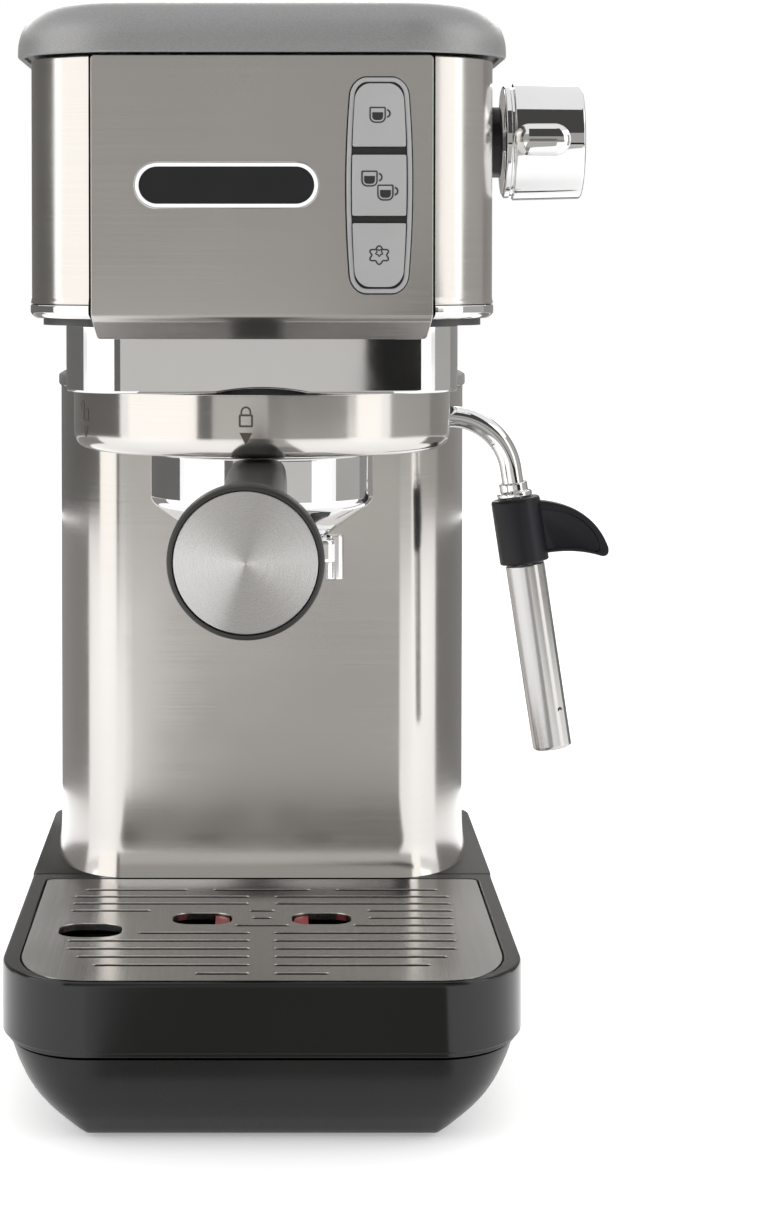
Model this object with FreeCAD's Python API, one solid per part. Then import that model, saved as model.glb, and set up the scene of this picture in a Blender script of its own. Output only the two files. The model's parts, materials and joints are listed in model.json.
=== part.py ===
import FreeCAD, Part
import math
import os

# Slim domestic espresso machine, millimetres. +X right, -Y front, +Z up.
# The origin is on the worktop, below the middle of the base.

V = FreeCAD.Vector
UP = V(0, 0, 1)

# --- driving dimensions: base -------------------------------------------------
BASE_HALF = 76.7
BASE_FRONT = -135.0
BASE_REAR = 135.0
BASE_FRONT_CORNER = (26.0, 34.0)
BASE_REAR_CORNER = (18.0, 18.0)
PLATE_Z = 1.5
PLATE_T = 1.8
PAD_SIZE = (60.0, 40.0)
PAD_DROP = 0.6
PAD_CORNER = 4.0
HOSE_WAY = ((-20, 20), (30, 122))
PAN_TOP = 27.0
BASE_TOP = 49.5
WALL = 2.4
TRAY_REAR = 11.0
DECK_FRONT = 11.5
# height, half width, front, rear of the pan's outside
PAN_SECTIONS = [
    (PLATE_Z, 53.0, -118.0, 120.0),
    (5.0, 62.5, -125.0, 127.0),
    (12.0, 70.0, -130.0, 131.5),
    (PAN_TOP, 74.0, -133.5, 134.0),
]
PAN_FRONT_CORNER = (24.0, 31.0)
PAN_REAR_CORNER = (16.0, 16.0)
FOOT_R = 9.0
FOOT_X = 38.0
FOOT_Y = (-92.0, 95.0)
SCREW_X = 38.0
SCREW_Y = (-66.0, 68.0)
SCREW_R = 1.5
SCREW_HEAD_R = 2.8
POST_R = 4.5

GLAND_X = -45.0
GLAND_Z = 38.0
GLAND_R = 6.0
ROCKER_X = 37.5
ROCKER_Z = 38.0
ROCKER_FRAME = (15.0, 9.0)
ROCKER_BODY = (13.0, 7.0)
ROCKER_WELL = (10.5, 6.0)

# --- column -------------------------------------------------------------------
COLUMN_HALF = 70.0
COLUMN_FRONT = 6.0
COLUMN_REAR = 81.8
COLUMN_CORNER = (25.0, 54.0)
COLUMN_TOP = 212.0
SHEET = 1.2
LIP_TOP = 216.0
LIP_OVERHANG = 0.8
BACK_WALL_Y = 82.3
BACK_WALL_T = 3.2

# --- brew group ---------------------------------------------------------------
GROUP_Y = -56.0
GROUP = V(0, GROUP_Y, 0)
COLLAR_R = 58.2
COLLAR_BOTTOM = 197.2
COLLAR_FILLET = 6.0
COLLAR_MOUTH_R = 37.0
GROUP_R = 45.0
GROUP_FOOT_R = 47.0
GROUP_BOTTOM = 199.2
GROUP_TOP = 222.0
GROUP_BORE_R = 36.2
LEDGE_R = 32.4
LEDGE_TOP = 202.8
SEAT_Z = 207.3
GASKET_TOP = 212.2
GASKET_IN_R = 26.2
GASKET_OUT_R = 31.6
EAR_COUNT = 3
EAR_WIDTH_DEG = 36.0
EAR_GAP_DEG = 42.0
EAR_R = 35.6
EAR_Z = (203.0, 206.0)

# --- neck and head ------------------------------------------------------------
NECK_HALF = 58.3
NECK_FRONT = -112.0
NECK_CORNER = (22.0, 22.0)
NECK_Z = (216.2, 236.0)
NECK_WALL = 1.6
NECK_FLOOR = 1.8
HEAD_HALF = 68.5
HEAD_FRONT = -119.5
HEAD_CORNER = (30.0, 30.0)
HEAD_REAR = 86.6
TRIM_Z = 238.0
PANEL_Z = (242.2, 314.0)
FRONT_HALF = 49.2
FRONT_Y = -121.0
FRONT_T = 2.4
COVER_HALF = 72.3
COVER_FRONT = -124.5
COVER_CORNER = (33.0, 33.0)
COVER_REAR_CORNER = (24.0, 24.0)
COVER_Z = 314.6
COVER_TOP = 330.0
COVER_SPLIT = 87.2
# share of the cover's height and the inset there, a rounded top edge
COVER_EDGE = [(0.0, 0.0), (0.22, 0.0), (0.5, 1.1), (0.76, 4.2), (0.93, 9.0), (1.0, 14.0)]
COVER_SKIN = 2.2
PLATE_HALF = 55.0
PLATE_Y = (-104.0, 78.0)
CUP_CORNERS = ((17.7, 17.7), (9.7, 9.7))
CUP_Z = (329.0, 330.2)

# --- front controls -----------------------------------------------------------
BEZEL_X = (24.5, 42.8)
BEZEL_Z = (245.6, 307.4)
BEZEL_FACE = -122.2
BUTTON_X = (26.0, 41.2)
BUTTON_Z = {
    "button_one_cup": (287.6, 304.8),
    "button_two_cup": (267.8, 285.3),
    "button_steam": (248.4, 265.7),
}
BUTTON_FACE = -123.0
BUTTON_BACK = -116.2
BADGE_X = -10.2
BADGE_Z = 276.6
BADGE_SIZE = (53.3, 13.6)
BADGE_RIM = 0.9

# --- portafilter --------------------------------------------------------------
YAW_DEG = 1.5
PITCH_DEG = 5.2
AXIS_Z = 192.4
BOWL_R = 34.5
BOWL_NECK_R = 31.6
BOWL_RIM_Z = 206.0
BOWL_IN_R = 28.6
BOWL_FLOOR_Z = 181.5
CONE_Z = 168.0
BOWL_OUTSIDE = [
    (BOWL_NECK_R, BOWL_RIM_Z),
    (BOWL_NECK_R, 196.9),
    (33.4, 196.6),
    (BOWL_R, 195.4),
    (BOWL_R, 181.2),
    (34.0, 179.9),
    (19.0, 169.4),
    (12.0, CONE_Z),
]
SPOUT_X = 22.7
SPOUT_R = 2.65
SPOUT_BORE_R = 1.7
SPOUT_END_Z = 156.2
BASKET_R = 27.9
BASKET_WALL = 0.6
BASKET_FLOOR = 183.0
# distance from the group axis and radius of the grip
GRIP_PROFILE = [
    (46.0, 8.3),
    (56.0, 8.8),
    (76.0, 9.0),
    (96.0, 9.6),
    (112.0, 11.1),
    (128.0, 13.9),
    (142.0, 17.2),
    (152.0, 19.4),
    (157.0, 20.2),
]
GRIP_END = 161.6
GRIP_END_R = 19.6
CAP_R = 18.7
BOLT_R = 3.0

# --- steam --------------------------------------------------------------------
KNOB_Y = -60.0
KNOB_Z = 291.5
KNOB_R = 18.0
KNOB_X = (73.8, 98.0)
SPINDLE_R = 3.0
RUNNING_GAP = 0.06
SWIVEL = V(50.0, -8.0, 0.0)
PIPE_R = 3.5
PIPE_BORE_R = 2.2
PIPE_TOP = 228.0
PIPE_BENDS = (10.0, 20.0)
PIPE_RUN_Z = 204.0
WAND_LEAN = 0.1518
WAND_X_AT = (82.9, 177.0)
NUT_Z = (182.2, 177.8)
GRIP_Z = (177.4, 156.4)
WAND_GRIP_R = 8.25
SLEEVE_Z = (155.8, 95.3)
SLEEVE_R = 6.35
NOZZLE_R = 4.7
NOZZLE_Z = (155.4, 110.0)

# --- tray and grate -----------------------------------------------------------
GRATE_HALF = 71.2
GRATE_FRONT = -132.8
GRATE_REAR = 3.0
GRATE_CORNER = (19.0, 33.0)
GRATE_SQUARE = (3.0, 3.0)
GRATE_TOP = 49.4
GRATE_T = 1.2
GRATE_SEAT = 46.6
TRAY_BOTTOM = 27.3
TRAY_FLOOR = 29.6
SLOT_PITCH = 10.1
SLOT_FIRST_Y = -124.5
SLOT_W = 2.6
# per row from the front, the spans that the slots cover in X
SLOT_ROWS = [
    [(-19.5, -3.5), (3.5, 19.5)],
    [(-49.5, -3.5), (3.5, 49.5)],
    [(-55.0, -3.5), (3.5, 55.0)],
    [(-58.5, -3.5), (3.5, 58.5)],
    [(-59.0, -3.5), (3.5, 59.0)],
    [(-38.0, -3.5), (3.5, 59.0)],
    [(-8.6, 8.6), (28.0, 59.6)],
    [(-3.2, 3.2), (33.2, 60.0)],
    [(-60.6, -35.0), (-4.2, 4.2), (33.2, 60.6)],
    [(-60.6, -4.0), (4.0, 60.6)],
    [(-60.6, -4.0), (4.0, 60.6)],
    [(-57.5, -24.0), (-16.0, 16.0), (24.0, 57.5)],
]
DRAIN_X = 18.6
DRAIN_Y = -54.5
DRAIN_HALF = (9.25, 8.0)
DRAIN_CORNER = 6.0
FINGER_HOLE = V(-52.7, -70.3, 0)
FINGER_HALF = (9.7, 9.2)
FINGER_CORNER = 7.0
FLOAT_HALF = (14.5, 7.5)
FLOAT_NUB_TOP = 48.6
FLOAT_NUB_GAP = 0.7
FLOAT_Z = (31.0, 44.0)
FLOAT_POST_X = 5.5
FLOAT_POST_R = 2.0
FLOAT_POST_TOP = 46.0
FLOAT_EDGE = 2.0
TRAY_STEP = 1.2
TRAY_STEP_Z = 28.7
TRAY_LEDGE = 2.6
SKIRT_T = 1.2

# --- tank ---------------------------------------------------------------------
TANK_HALF = 68.0
TANK_Y = (88.5, 134.0)
TANK_Z = (52.0, 313.0)
TANK_WALL = 2.2
TANK_CORNER = (3.0, 3.0)
TANK_REAR_CORNER = (20.0, 20.0)
SOCKET_Y = 110.0
SPIGOT_R = 4.0
VALVE_R = 8.0
LID_PIN = V(0.0, 133.1, 315.7)
LID_PIN_R = 0.9
KNUCKLE_R = 1.9
LUG_X = (40.0, 46.0)
GAP = 0.3


def corner(cx, cy, rx, ry, sx, sy):
    """Quarter ellipse about (cx, cy) in the quadrant (sx, sy)."""
    side = V(cx + sx * rx, cy, 0)
    end = V(cx, cy + sy * ry, 0)
    major, minor = (side, end) if rx >= ry else (end, side)
    if rx == ry:
        middle = V(cx + sx * rx * math.sqrt(0.5), cy + sy * ry * math.sqrt(0.5), 0)
        return Part.Arc(side, middle, end).toShape()
    ellipse = Part.Ellipse(major, minor, V(cx, cy, 0))
    return Part.ArcOfEllipse(ellipse, 0, math.pi / 2).toShape()


def outline(half, front, rear, front_corner, rear_corner, z=0.0):
    """Closed plan outline with elliptical corners, as a wire at height z."""
    fx, fy = front_corner
    rx, ry = rear_corner
    edges = [
        Part.makeLine(V(-half + fx, front, 0), V(half - fx, front, 0)),
        corner(half - fx, front + fy, fx, fy, 1, -1),
        Part.makeLine(V(half, front + fy, 0), V(half, rear - ry, 0)),
        corner(half - rx, rear - ry, rx, ry, 1, 1),
        Part.makeLine(V(half - rx, rear, 0), V(-half + rx, rear, 0)),
        corner(-half + rx, rear - ry, rx, ry, -1, 1),
        Part.makeLine(V(-half, rear - ry, 0), V(-half, front + fy, 0)),
        corner(-half + fx, front + fy, fx, fy, -1, -1),
    ]
    wire = Part.Wire(Part.__sortEdges__(edges))
    wire.translate(V(0, 0, z))
    return wire


def block(half, front, rear, front_corner, rear_corner, z0, z1):
    """Upright solid on a plan outline, from z0 to z1."""
    wire = outline(half, front, rear, front_corner, rear_corner, z0)
    return Part.Face(wire).extrude(V(0, 0, z1 - z0))


def about(centre, half):
    """Limits at equal distance from a centre."""
    return (centre - half, centre + half)


def box(x, y, z):
    """Box between pairs of limits."""
    return Part.makeBox(x[1] - x[0], y[1] - y[0], z[1] - z[0], V(x[0], y[0], z[0]))


def rod(start, end, radius):
    """Cylinder from one point to another."""
    way = end - start
    return Part.makeCylinder(radius, way.Length, start, way)


def ring(start, end, outer, inner):
    """Tube from one point to another."""
    return rod(start, end, outer).cut(rod(start, end, inner))


def turned(profile, centre=V(0, 0, 0)):
    """Solid of revolution about the vertical through centre, from (radius, height) points."""
    points = [V(r, 0, z) for r, z in profile]
    face = Part.Face(Part.makePolygon(points + points[:1]))
    solid = face.revolve(V(0, 0, 0), UP, 360)
    solid.translate(centre)
    return solid


def sector(r_in, r_out, z0, z1, middle_deg, width_deg, centre):
    """Part of a flat ring, width_deg wide about middle_deg."""
    corners = [V(r_in, 0, z0), V(r_out, 0, z0), V(r_out, 0, z1), V(r_in, 0, z1), V(r_in, 0, z0)]
    face = Part.Face(Part.makePolygon(corners))
    solid = face.revolve(V(0, 0, 0), UP, width_deg)
    solid.rotate(V(0, 0, 0), UP, middle_deg - width_deg / 2)
    solid.translate(centre)
    return solid


def bent_path(points, bends):
    """Wire of straight runs joined by tangent arcs, with one bend radius for each corner."""
    edges = []
    last = points[0]
    for before, at, after, bend in zip(points, points[1:], points[2:], bends):
        a = (before - at).normalize()
        b = (after - at).normalize()
        half = a.getAngle(b) / 2
        reach = bend / math.tan(half)
        start = at + a * reach
        end = at + b * reach
        to_centre = (a + b).normalize()
        middle = at + to_centre * (bend / math.sin(half) - bend)
        edges.append(Part.makeLine(last, start))
        edges.append(Part.Arc(start, middle, end).toShape())
        last = end
    edges.append(Part.makeLine(last, points[-1]))
    return Part.Wire(edges)


def hose(points, bends, radius, bore=0.0):
    """Round tube along straight runs and arcs."""
    bends = bends if isinstance(bends, tuple) else (bends,) * (len(points) - 2)
    path = bent_path(points, bends)
    way = points[1] - points[0]

    def sweep(r):
        circle = Part.Wire(Part.makeCircle(r, points[0], way))
        return path.makePipeShell([circle], True, True)

    solid = sweep(radius)
    return solid.cut(sweep(bore)) if bore else solid


def fuse(shapes):
    """One solid out of several that touch."""
    return shapes[0].multiFuse(shapes[1:]).removeSplitter()


# --- base ---------------------------------------------------------------------
def pan_loft(inset, sections):
    """Solid through the pan's sections, drawn in by inset."""
    corners = [tuple(c - inset for c in PAN_FRONT_CORNER), tuple(c - inset for c in PAN_REAR_CORNER)]
    wires = [outline(h - inset, f + inset, r - inset, corners[0], corners[1], z) for z, h, f, r in sections]
    return Part.makeLoft(wires, True, False)


def screw_places():
    """Where the four bottom screws stand."""
    return [V(x, y, 0) for x in (-SCREW_X, SCREW_X) for y in SCREW_Y]


def base_pan():
    """Tapering tub, open below, whose roof carries tray and deck."""
    inner = [(z if z < PAN_TOP else PAN_TOP - WALL, h, f, r) for z, h, f, r in PAN_SECTIONS]
    inner[0] = (PLATE_Z - GAP,) + inner[0][1:]
    tub = pan_loft(0.0, PAN_SECTIONS).cut(pan_loft(WALL, inner))
    foot = UP * (PLATE_Z + PLATE_T)
    roof = PAN_TOP - WALL
    posts = [rod(p + foot, p + UP * (roof + WALL / 2), POST_R) for p in screw_places()]
    pilots = [rod(p + foot, p + UP * roof, SCREW_R + GAP / 3) for p in screw_places()]
    hose_way = box(*HOSE_WAY, (roof - 1, PAN_TOP + 1))
    return fuse([tub] + posts).cut(Part.makeCompound(pilots)).cut(hose_way)


def bottom_plate():
    """Flat cover inside the pan's mouth, with a raised pad in its middle."""
    _, half, front, rear = PAN_SECTIONS[0]
    inset = WALL + GAP
    front_corner = tuple(c - inset for c in PAN_FRONT_CORNER)
    rear_corner = tuple(c - inset for c in PAN_REAR_CORNER)
    top = PLATE_Z + PLATE_T
    plate = block(half - inset, front + inset, rear - inset, front_corner, rear_corner, PLATE_Z, top)
    pad_corner = (PAD_CORNER, PAD_CORNER)
    pad_y = PAD_SIZE[1] / 2
    pad_z = (PLATE_Z - PAD_DROP, PLATE_Z + PLATE_T / 2)
    pad = block(PAD_SIZE[0] / 2, -pad_y, pad_y, pad_corner, pad_corner, *pad_z)
    plate = plate.fuse(pad)
    for place in screw_places():
        plate = plate.cut(rod(place, place + UP * PLATE_T * 3, SCREW_R + GAP))
    return plate


def screws():
    """Four pan-head screws through the plate into the posts, and the shower screen's screw."""
    head = rod(GROUP + UP * 205.8, GROUP + UP * 207.4, 3.6)
    screws = [fuse([head, rod(GROUP + UP * 207.0, GROUP + UP * 216.0, SCREW_R)])]
    for p in screw_places():
        head = rod(p + UP * (PLATE_Z - 0.9), p + UP * PLATE_Z, SCREW_HEAD_R)
        shank = rod(p + UP * (PLATE_Z - 0.2), p + UP * (PAN_TOP - WALL * 3), SCREW_R)
        screws.append(fuse([head, shank]))
    return Part.makeCompound(screws)


def rubber_feet():
    """Four round pads under the plate."""
    places = [V(x, y, 0) for x in (-FOOT_X, FOOT_X) for y in FOOT_Y]
    return Part.makeCompound([rod(p, p + UP * PLATE_Z, FOOT_R) for p in places])


def column_block(grow, z0, z1, rear=COLUMN_REAR):
    """Solid on the column's plan, grown outwards by grow."""
    cx, cy = COLUMN_CORNER
    return block(COLUMN_HALF + grow, COLUMN_FRONT - grow, rear, (cx + grow, cy + grow), (1.0, 1.0), z0, z1)


def base_deck():
    """Rear half of the base: the hollow step that the column and the tank stand on."""
    rear = block(BASE_HALF, BASE_FRONT, BASE_REAR, BASE_FRONT_CORNER, BASE_REAR_CORNER, PAN_TOP, BASE_TOP)
    rear = rear.common(box((-100, 100), (DECK_FRONT, 200), (0, 100)))
    rear = rear.fuse(column_block(0.0, PAN_TOP, BASE_TOP)).removeSplitter()
    inset = [c - WALL for c in BASE_REAR_CORNER]
    inner_front = (WALL, WALL)
    hollow_z = (PAN_TOP - 1, BASE_TOP - WALL)
    hollow = block(BASE_HALF - WALL, DECK_FRONT + WALL, BASE_REAR - WALL, inner_front, inset, *hollow_z)
    deck = rear.cut(hollow)
    for y in (46.0, SOCKET_Y):
        deck = deck.cut(rod(V(0, y, PAN_TOP), V(0, y, BASE_TOP + 1), 6.0))
    through = (BASE_REAR - 10, BASE_REAR + 10)
    gland_hole = rod(V(GLAND_X, through[0], GLAND_Z), V(GLAND_X, through[1], GLAND_Z), GLAND_R + 0.2)
    rocker_hole = box(about(ROCKER_X, ROCKER_BODY[0] + 0.2), through, about(ROCKER_Z, ROCKER_BODY[1] + 0.2))
    return deck.cut(gland_hole).cut(rocker_hole)


def cord_gland():
    """Flanged sleeve that the mains cord would leave by."""
    flange = ring(V(GLAND_X, BASE_REAR, GLAND_Z), V(GLAND_X, BASE_REAR + 2, GLAND_Z), GLAND_R + 2, 3.0)
    sleeve = ring(V(GLAND_X, BASE_REAR - 8, GLAND_Z), V(GLAND_X, BASE_REAR + 12, GLAND_Z), GLAND_R, 3.0)
    return fuse([flange, sleeve])


def switch_frame():
    """Frame of the power switch in the deck's rear wall."""
    y = BASE_REAR
    outer = box(about(ROCKER_X, ROCKER_FRAME[0]), (y, y + 1.6), about(ROCKER_Z, ROCKER_FRAME[1]))
    body = box(about(ROCKER_X, ROCKER_BODY[0]), (y - 12, y), about(ROCKER_Z, ROCKER_BODY[1]))
    well = box(about(ROCKER_X, ROCKER_WELL[0]), (y - 9, y + 3), about(ROCKER_Z, ROCKER_WELL[1]))
    return fuse([outer, body]).cut(well)


def power_rocker():
    """Rocker with two sloping faces about a pin across the switch."""
    y = BASE_REAR
    corners = [(-5, -4), (1.6, -5.2), (0.9, 0), (3.2, 5.0), (-5, 3), (-5, -4)]
    profile = [V(0, y + out, ROCKER_Z + up) for out, up in corners]
    rocker = Part.Face(Part.makePolygon(profile)).extrude(V(20.0, 0, 0))
    rocker.translate(V(ROCKER_X - 10.0, 0, 0))
    return rocker


# --- column -------------------------------------------------------------------
def column_shell():
    """Sheet bent round the front and sides of the column, open behind."""
    cx, cy = COLUMN_CORNER
    outer = column_block(0.0, BASE_TOP, COLUMN_TOP)
    inner = block(COLUMN_HALF - SHEET, COLUMN_FRONT + SHEET, 200, (cx - SHEET, cy - SHEET), (1, 1), 0, 300)
    return outer.cut(inner)


def back_wall():
    """Upright wall of the inner frame, with a foot and a shelf that stiffen the column."""
    half = COLUMN_HALF - SHEET - 0.6
    wall = box((-half, half), (BACK_WALL_Y, BACK_WALL_Y + BACK_WALL_T), (BASE_TOP, NECK_Z[1]))
    shelf = column_block(-SHEET - 0.6, COLUMN_TOP - 5, COLUMN_TOP - 2, BACK_WALL_Y + 0.5)
    foot = box((-half, half), (62.0, BACK_WALL_Y + 0.5), (BASE_TOP, BASE_TOP + 2.5))
    way = box((-24, 24), (24, 72), (BASE_TOP - 1, COLUMN_TOP))
    return fuse([wall, shelf.cut(way), foot.cut(way)])


def lip_plate():
    """Bright plate on top of the column, open in the middle for the hoses."""
    plate = column_block(LIP_OVERHANG, COLUMN_TOP, LIP_TOP)
    return plate.cut(box((-30, 30), (20, 70), (COLUMN_TOP - 1, LIP_TOP + 1)))


# --- brew group ---------------------------------------------------------------
def group_surround():
    """Chromed band round the group, a tray with an arched relief in its front edge."""
    outer = block(NECK_HALF, NECK_FRONT, COLUMN_REAR, NECK_CORNER, (2, 2), *NECK_Z)
    inset = [c - NECK_WALL for c in NECK_CORNER]
    inner = block(
        NECK_HALF - NECK_WALL, NECK_FRONT + NECK_WALL, COLUMN_REAR - NECK_WALL, inset, (1, 1),
        NECK_Z[0] + NECK_FLOOR, NECK_Z[1] + 1,
    )
    band = outer.cut(inner)
    band = band.cut(rod(GROUP + UP * 200, GROUP + UP * 230, GROUP_R + 2))
    relief_half = 13.5
    relief_h = 1.2
    radius = (relief_half**2 + relief_h**2) / (2 * relief_h)
    low = NECK_Z[0] + relief_h - radius
    band = band.cut(rod(V(0, NECK_FRONT - 5, low), V(0, NECK_FRONT + 12, low), radius))
    band = band.cut(box((-30, 30), (20, 70), (NECK_Z[0] - 1, NECK_Z[0] + 3)))
    return band.cut(rod(SWIVEL + UP * 200, SWIVEL + UP * 230, 6.2))


def group_collar():
    """Brushed cup round the group, open in the middle for the portafilter."""
    t = 1.4
    r = COLLAR_R
    z = COLLAR_BOTTOM
    f = COLLAR_FILLET
    mid = f * (1 - math.sqrt(0.5))
    slant = t * 0.7
    edges = [
        Part.makeLine(V(COLLAR_MOUTH_R, 0, z), V(r - f, 0, z)),
        Part.Arc(V(r - f, 0, z), V(r - mid, 0, z + mid), V(r, 0, z + f)).toShape(),
        Part.makeLine(V(r, 0, z + f), V(r, 0, LIP_TOP)),
        Part.makeLine(V(r, 0, LIP_TOP), V(r - t, 0, LIP_TOP)),
        Part.makeLine(V(r - t, 0, LIP_TOP), V(r - t, 0, z + f)),
        Part.Arc(V(r - t, 0, z + f), V(r - mid - slant, 0, z + mid + slant), V(r - f, 0, z + t)).toShape(),
        Part.makeLine(V(r - f, 0, z + t), V(COLLAR_MOUTH_R, 0, z + t)),
        Part.makeLine(V(COLLAR_MOUTH_R, 0, z + t), V(COLLAR_MOUTH_R, 0, z)),
    ]
    cup = Part.Face(Part.Wire(edges)).revolve(V(0, 0, 0), UP, 360)
    cup.translate(GROUP)
    clear = column_block(2.0, 190, 230)
    return cup.cut(clear)


def group_head():
    """Cast group with gasket groove and a bayonet ring of three ledges."""
    body = turned(
        [
            (GROUP_BORE_R, GROUP_BOTTOM),
            (GROUP_FOOT_R, GROUP_BOTTOM),
            (GROUP_FOOT_R, 205.0),
            (GROUP_R, 207.0),
            (GROUP_R, GROUP_TOP),
            (2.0, GROUP_TOP),
            (2.0, 209.0),
            (GASKET_IN_R, 209.0),
            (GASKET_IN_R, GASKET_TOP),
            (GASKET_OUT_R, GASKET_TOP),
            (GASKET_OUT_R, SEAT_Z),
            (GROUP_BORE_R, SEAT_Z),
        ],
        GROUP,
    )
    step = 360 / EAR_COUNT
    ledges = [
        sector(LEDGE_R, GROUP_BORE_R + 1, GROUP_BOTTOM, LEDGE_TOP, 30 + step * k, step - EAR_GAP_DEG, GROUP)
        for k in range(EAR_COUNT)
    ]
    return fuse([body] + ledges)


def group_gasket():
    """Rubber ring that the portafilter's rim presses on."""
    z0 = SEAT_Z - 0.3
    return ring(GROUP + UP * z0, GROUP + UP * GASKET_TOP, GASKET_OUT_R - GAP, GASKET_IN_R + GAP)


def hole_rings(count_per_ring, spacing, radius, z0, z1):
    """Upright pins on rings about the group axis, for cutting perforations."""
    pins = [rod(GROUP + UP * z0, GROUP + UP * z1, radius)]
    for n in range(1, count_per_ring + 1):
        for k in range(6 * n):
            angle = 2 * math.pi * k / (6 * n)
            place = GROUP + V(math.cos(angle) * spacing * n, math.sin(angle) * spacing * n, 0)
            pins.append(rod(place + UP * z0, place + UP * z1, radius))
    return pins


def shower_screen():
    """Perforated disc under the group."""
    disc = rod(GROUP + UP * 207.5, GROUP + UP * 208.7, GASKET_IN_R - GAP)
    pins = hole_rings(4, 5.6, 0.8, 207, 209)
    pins[0] = rod(GROUP + UP * 207, GROUP + UP * 209, SCREW_R + 0.2)
    return disc.cut(Part.makeCompound(pins))


# --- head ---------------------------------------------------------------------
def head_shell():
    """Bent sheet round the head, before it is split into the two sides."""
    outer = block(HEAD_HALF, HEAD_FRONT, HEAD_REAR, HEAD_CORNER, (2, 2), *PANEL_Z)
    inset = [c - SHEET for c in HEAD_CORNER]
    inner = block(HEAD_HALF - SHEET, HEAD_FRONT + SHEET, HEAD_REAR - SHEET, inset, (1, 1), 200, 400)
    return outer.cut(inner)


def head_left_panel():
    """Left side sheet of the head."""
    return head_shell().common(box((-100, -FRONT_HALF - 0.7), (-200, HEAD_REAR - 8), (0, 400)))


def head_right_panel():
    """Right side sheet, with the hole for the knob's bushing."""
    side = head_shell().common(box((FRONT_HALF + 0.7, 100), (-200, HEAD_REAR - 8), (0, 400)))
    return side.cut(rod(V(50, KNOB_Y, KNOB_Z), V(80, KNOB_Y, KNOB_Z), 9.0))


def head_front_panel():
    """Flat front plate whose lower edge slopes back under the head."""
    y = FRONT_Y
    t = FRONT_T
    profile = [V(0, y, PANEL_Z[1]), V(0, y, 238.0), V(0, y + 5.6, 232.2), V(0, y + 8.2, 232.2)]
    profile += [V(0, y + t, 238.6), V(0, y + t, PANEL_Z[1]), V(0, y, PANEL_Z[1])]
    plate = Part.Face(Part.makePolygon(profile)).extrude(V(2 * FRONT_HALF, 0, 0))
    plate.translate(V(-FRONT_HALF, 0, 0))
    return plate.cut(bezel_block(GAP, y - 5, y + 5))


def head_trim():
    """Chromed rail under the side sheets."""
    z0, z1 = TRIM_Z, PANEL_Z[0]
    outer = block(HEAD_HALF + 0.4, HEAD_FRONT - 0.4, HEAD_REAR - 8, (30.4, 30.4), (2, 2), z0, z1)
    low_edges = [e for e in outer.Edges if abs(e.CenterOfMass.z - z0) < 0.01]
    outer = outer.makeFillet(2.4, low_edges)
    inner = block(HEAD_HALF - 3.2, HEAD_FRONT + 3.2, HEAD_REAR + 50, (26.8, 26.8), (1, 1), 200, 300)
    front = box((-FRONT_HALF - 0.7, FRONT_HALF + 0.7), (-200, -60), (0, 400))
    return outer.cut(inner).cut(front)


def head_frame():
    """Grey inner moulding of the head: a floor that rests on the band and a wall facing the tank."""
    floor = block(HEAD_HALF - 3.6, -112.4, HEAD_REAR - 11.4, (26.4, 20.0), (1, 1), NECK_Z[1], TRIM_Z + 1.5)
    floor = floor.cut(box((-46, 46), (-100, 70), (200, 300)))
    floor = floor.cut(rod(SWIVEL + UP * 200, SWIVEL + UP * 300, 5.0))
    half = HEAD_HALF - SHEET - 0.5
    wall = box((-half, half), (HEAD_REAR - 7, HEAD_REAR - 4.4), (PANEL_Z[0], PANEL_Z[1]))
    foot = box((-50, 50), (HEAD_REAR - 14, HEAD_REAR - 4.4), (NECK_Z[1] + 0.1, TRIM_Z + 1.5))
    rise = box((-50, 50), (HEAD_REAR - 7, HEAD_REAR - 4.4), (NECK_Z[1] + 0.1, PANEL_Z[0] + 1))
    return fuse([floor, foot, rise, wall])


def crown(inset, z0, z1):
    """Solid with the cover's rounded top edge, drawn in by inset."""
    wires = []
    for share, pull in COVER_EDGE:
        d = inset + pull
        wires.append(
            outline(
                COVER_HALF - d,
                COVER_FRONT + d,
                BASE_REAR - d,
                tuple(c - d for c in COVER_CORNER),
                tuple(c - d for c in COVER_REAR_CORNER),
                z0 + (z1 - z0) * share,
            )
        )
    return Part.makeLoft(wires, True, False)


def crown_shell():
    """Hollow cap of the whole top, before the tank's lid is parted off."""
    return crown(0.0, COVER_Z, COVER_TOP).cut(crown(COVER_SKIN, COVER_Z - 1, COVER_TOP - COVER_SKIN))


def top_cover():
    """Silver cover of the head with a recess for the cup plate."""
    front = crown_shell().common(box((-100, 100), (-200, COVER_SPLIT - 0.4), (0, 400)))
    y0, y1 = PLATE_Y
    front_corner = [c + GAP for c in CUP_CORNERS[0]]
    rear_corner = [c + GAP for c in CUP_CORNERS[1]]
    depth = (CUP_Z[0], COVER_TOP + 10)
    recess = block(PLATE_HALF + GAP, y0 - GAP, y1 + GAP, front_corner, rear_corner, *depth)
    return front.cut(recess)


def cup_plate():
    """Steel plate that cups warm on, with low bars."""
    y0, y1 = PLATE_Y
    plate = block(PLATE_HALF, y0, y1, *CUP_CORNERS, *CUP_Z)
    bar_z = (CUP_Z[1] - 0.2, CUP_Z[1] + 0.8)
    bars = [box(about(x, 1.4), (y0 + 20, y1 - 14), bar_z) for x in range(-42, 43, 14)]
    return fuse([plate] + bars)


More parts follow.
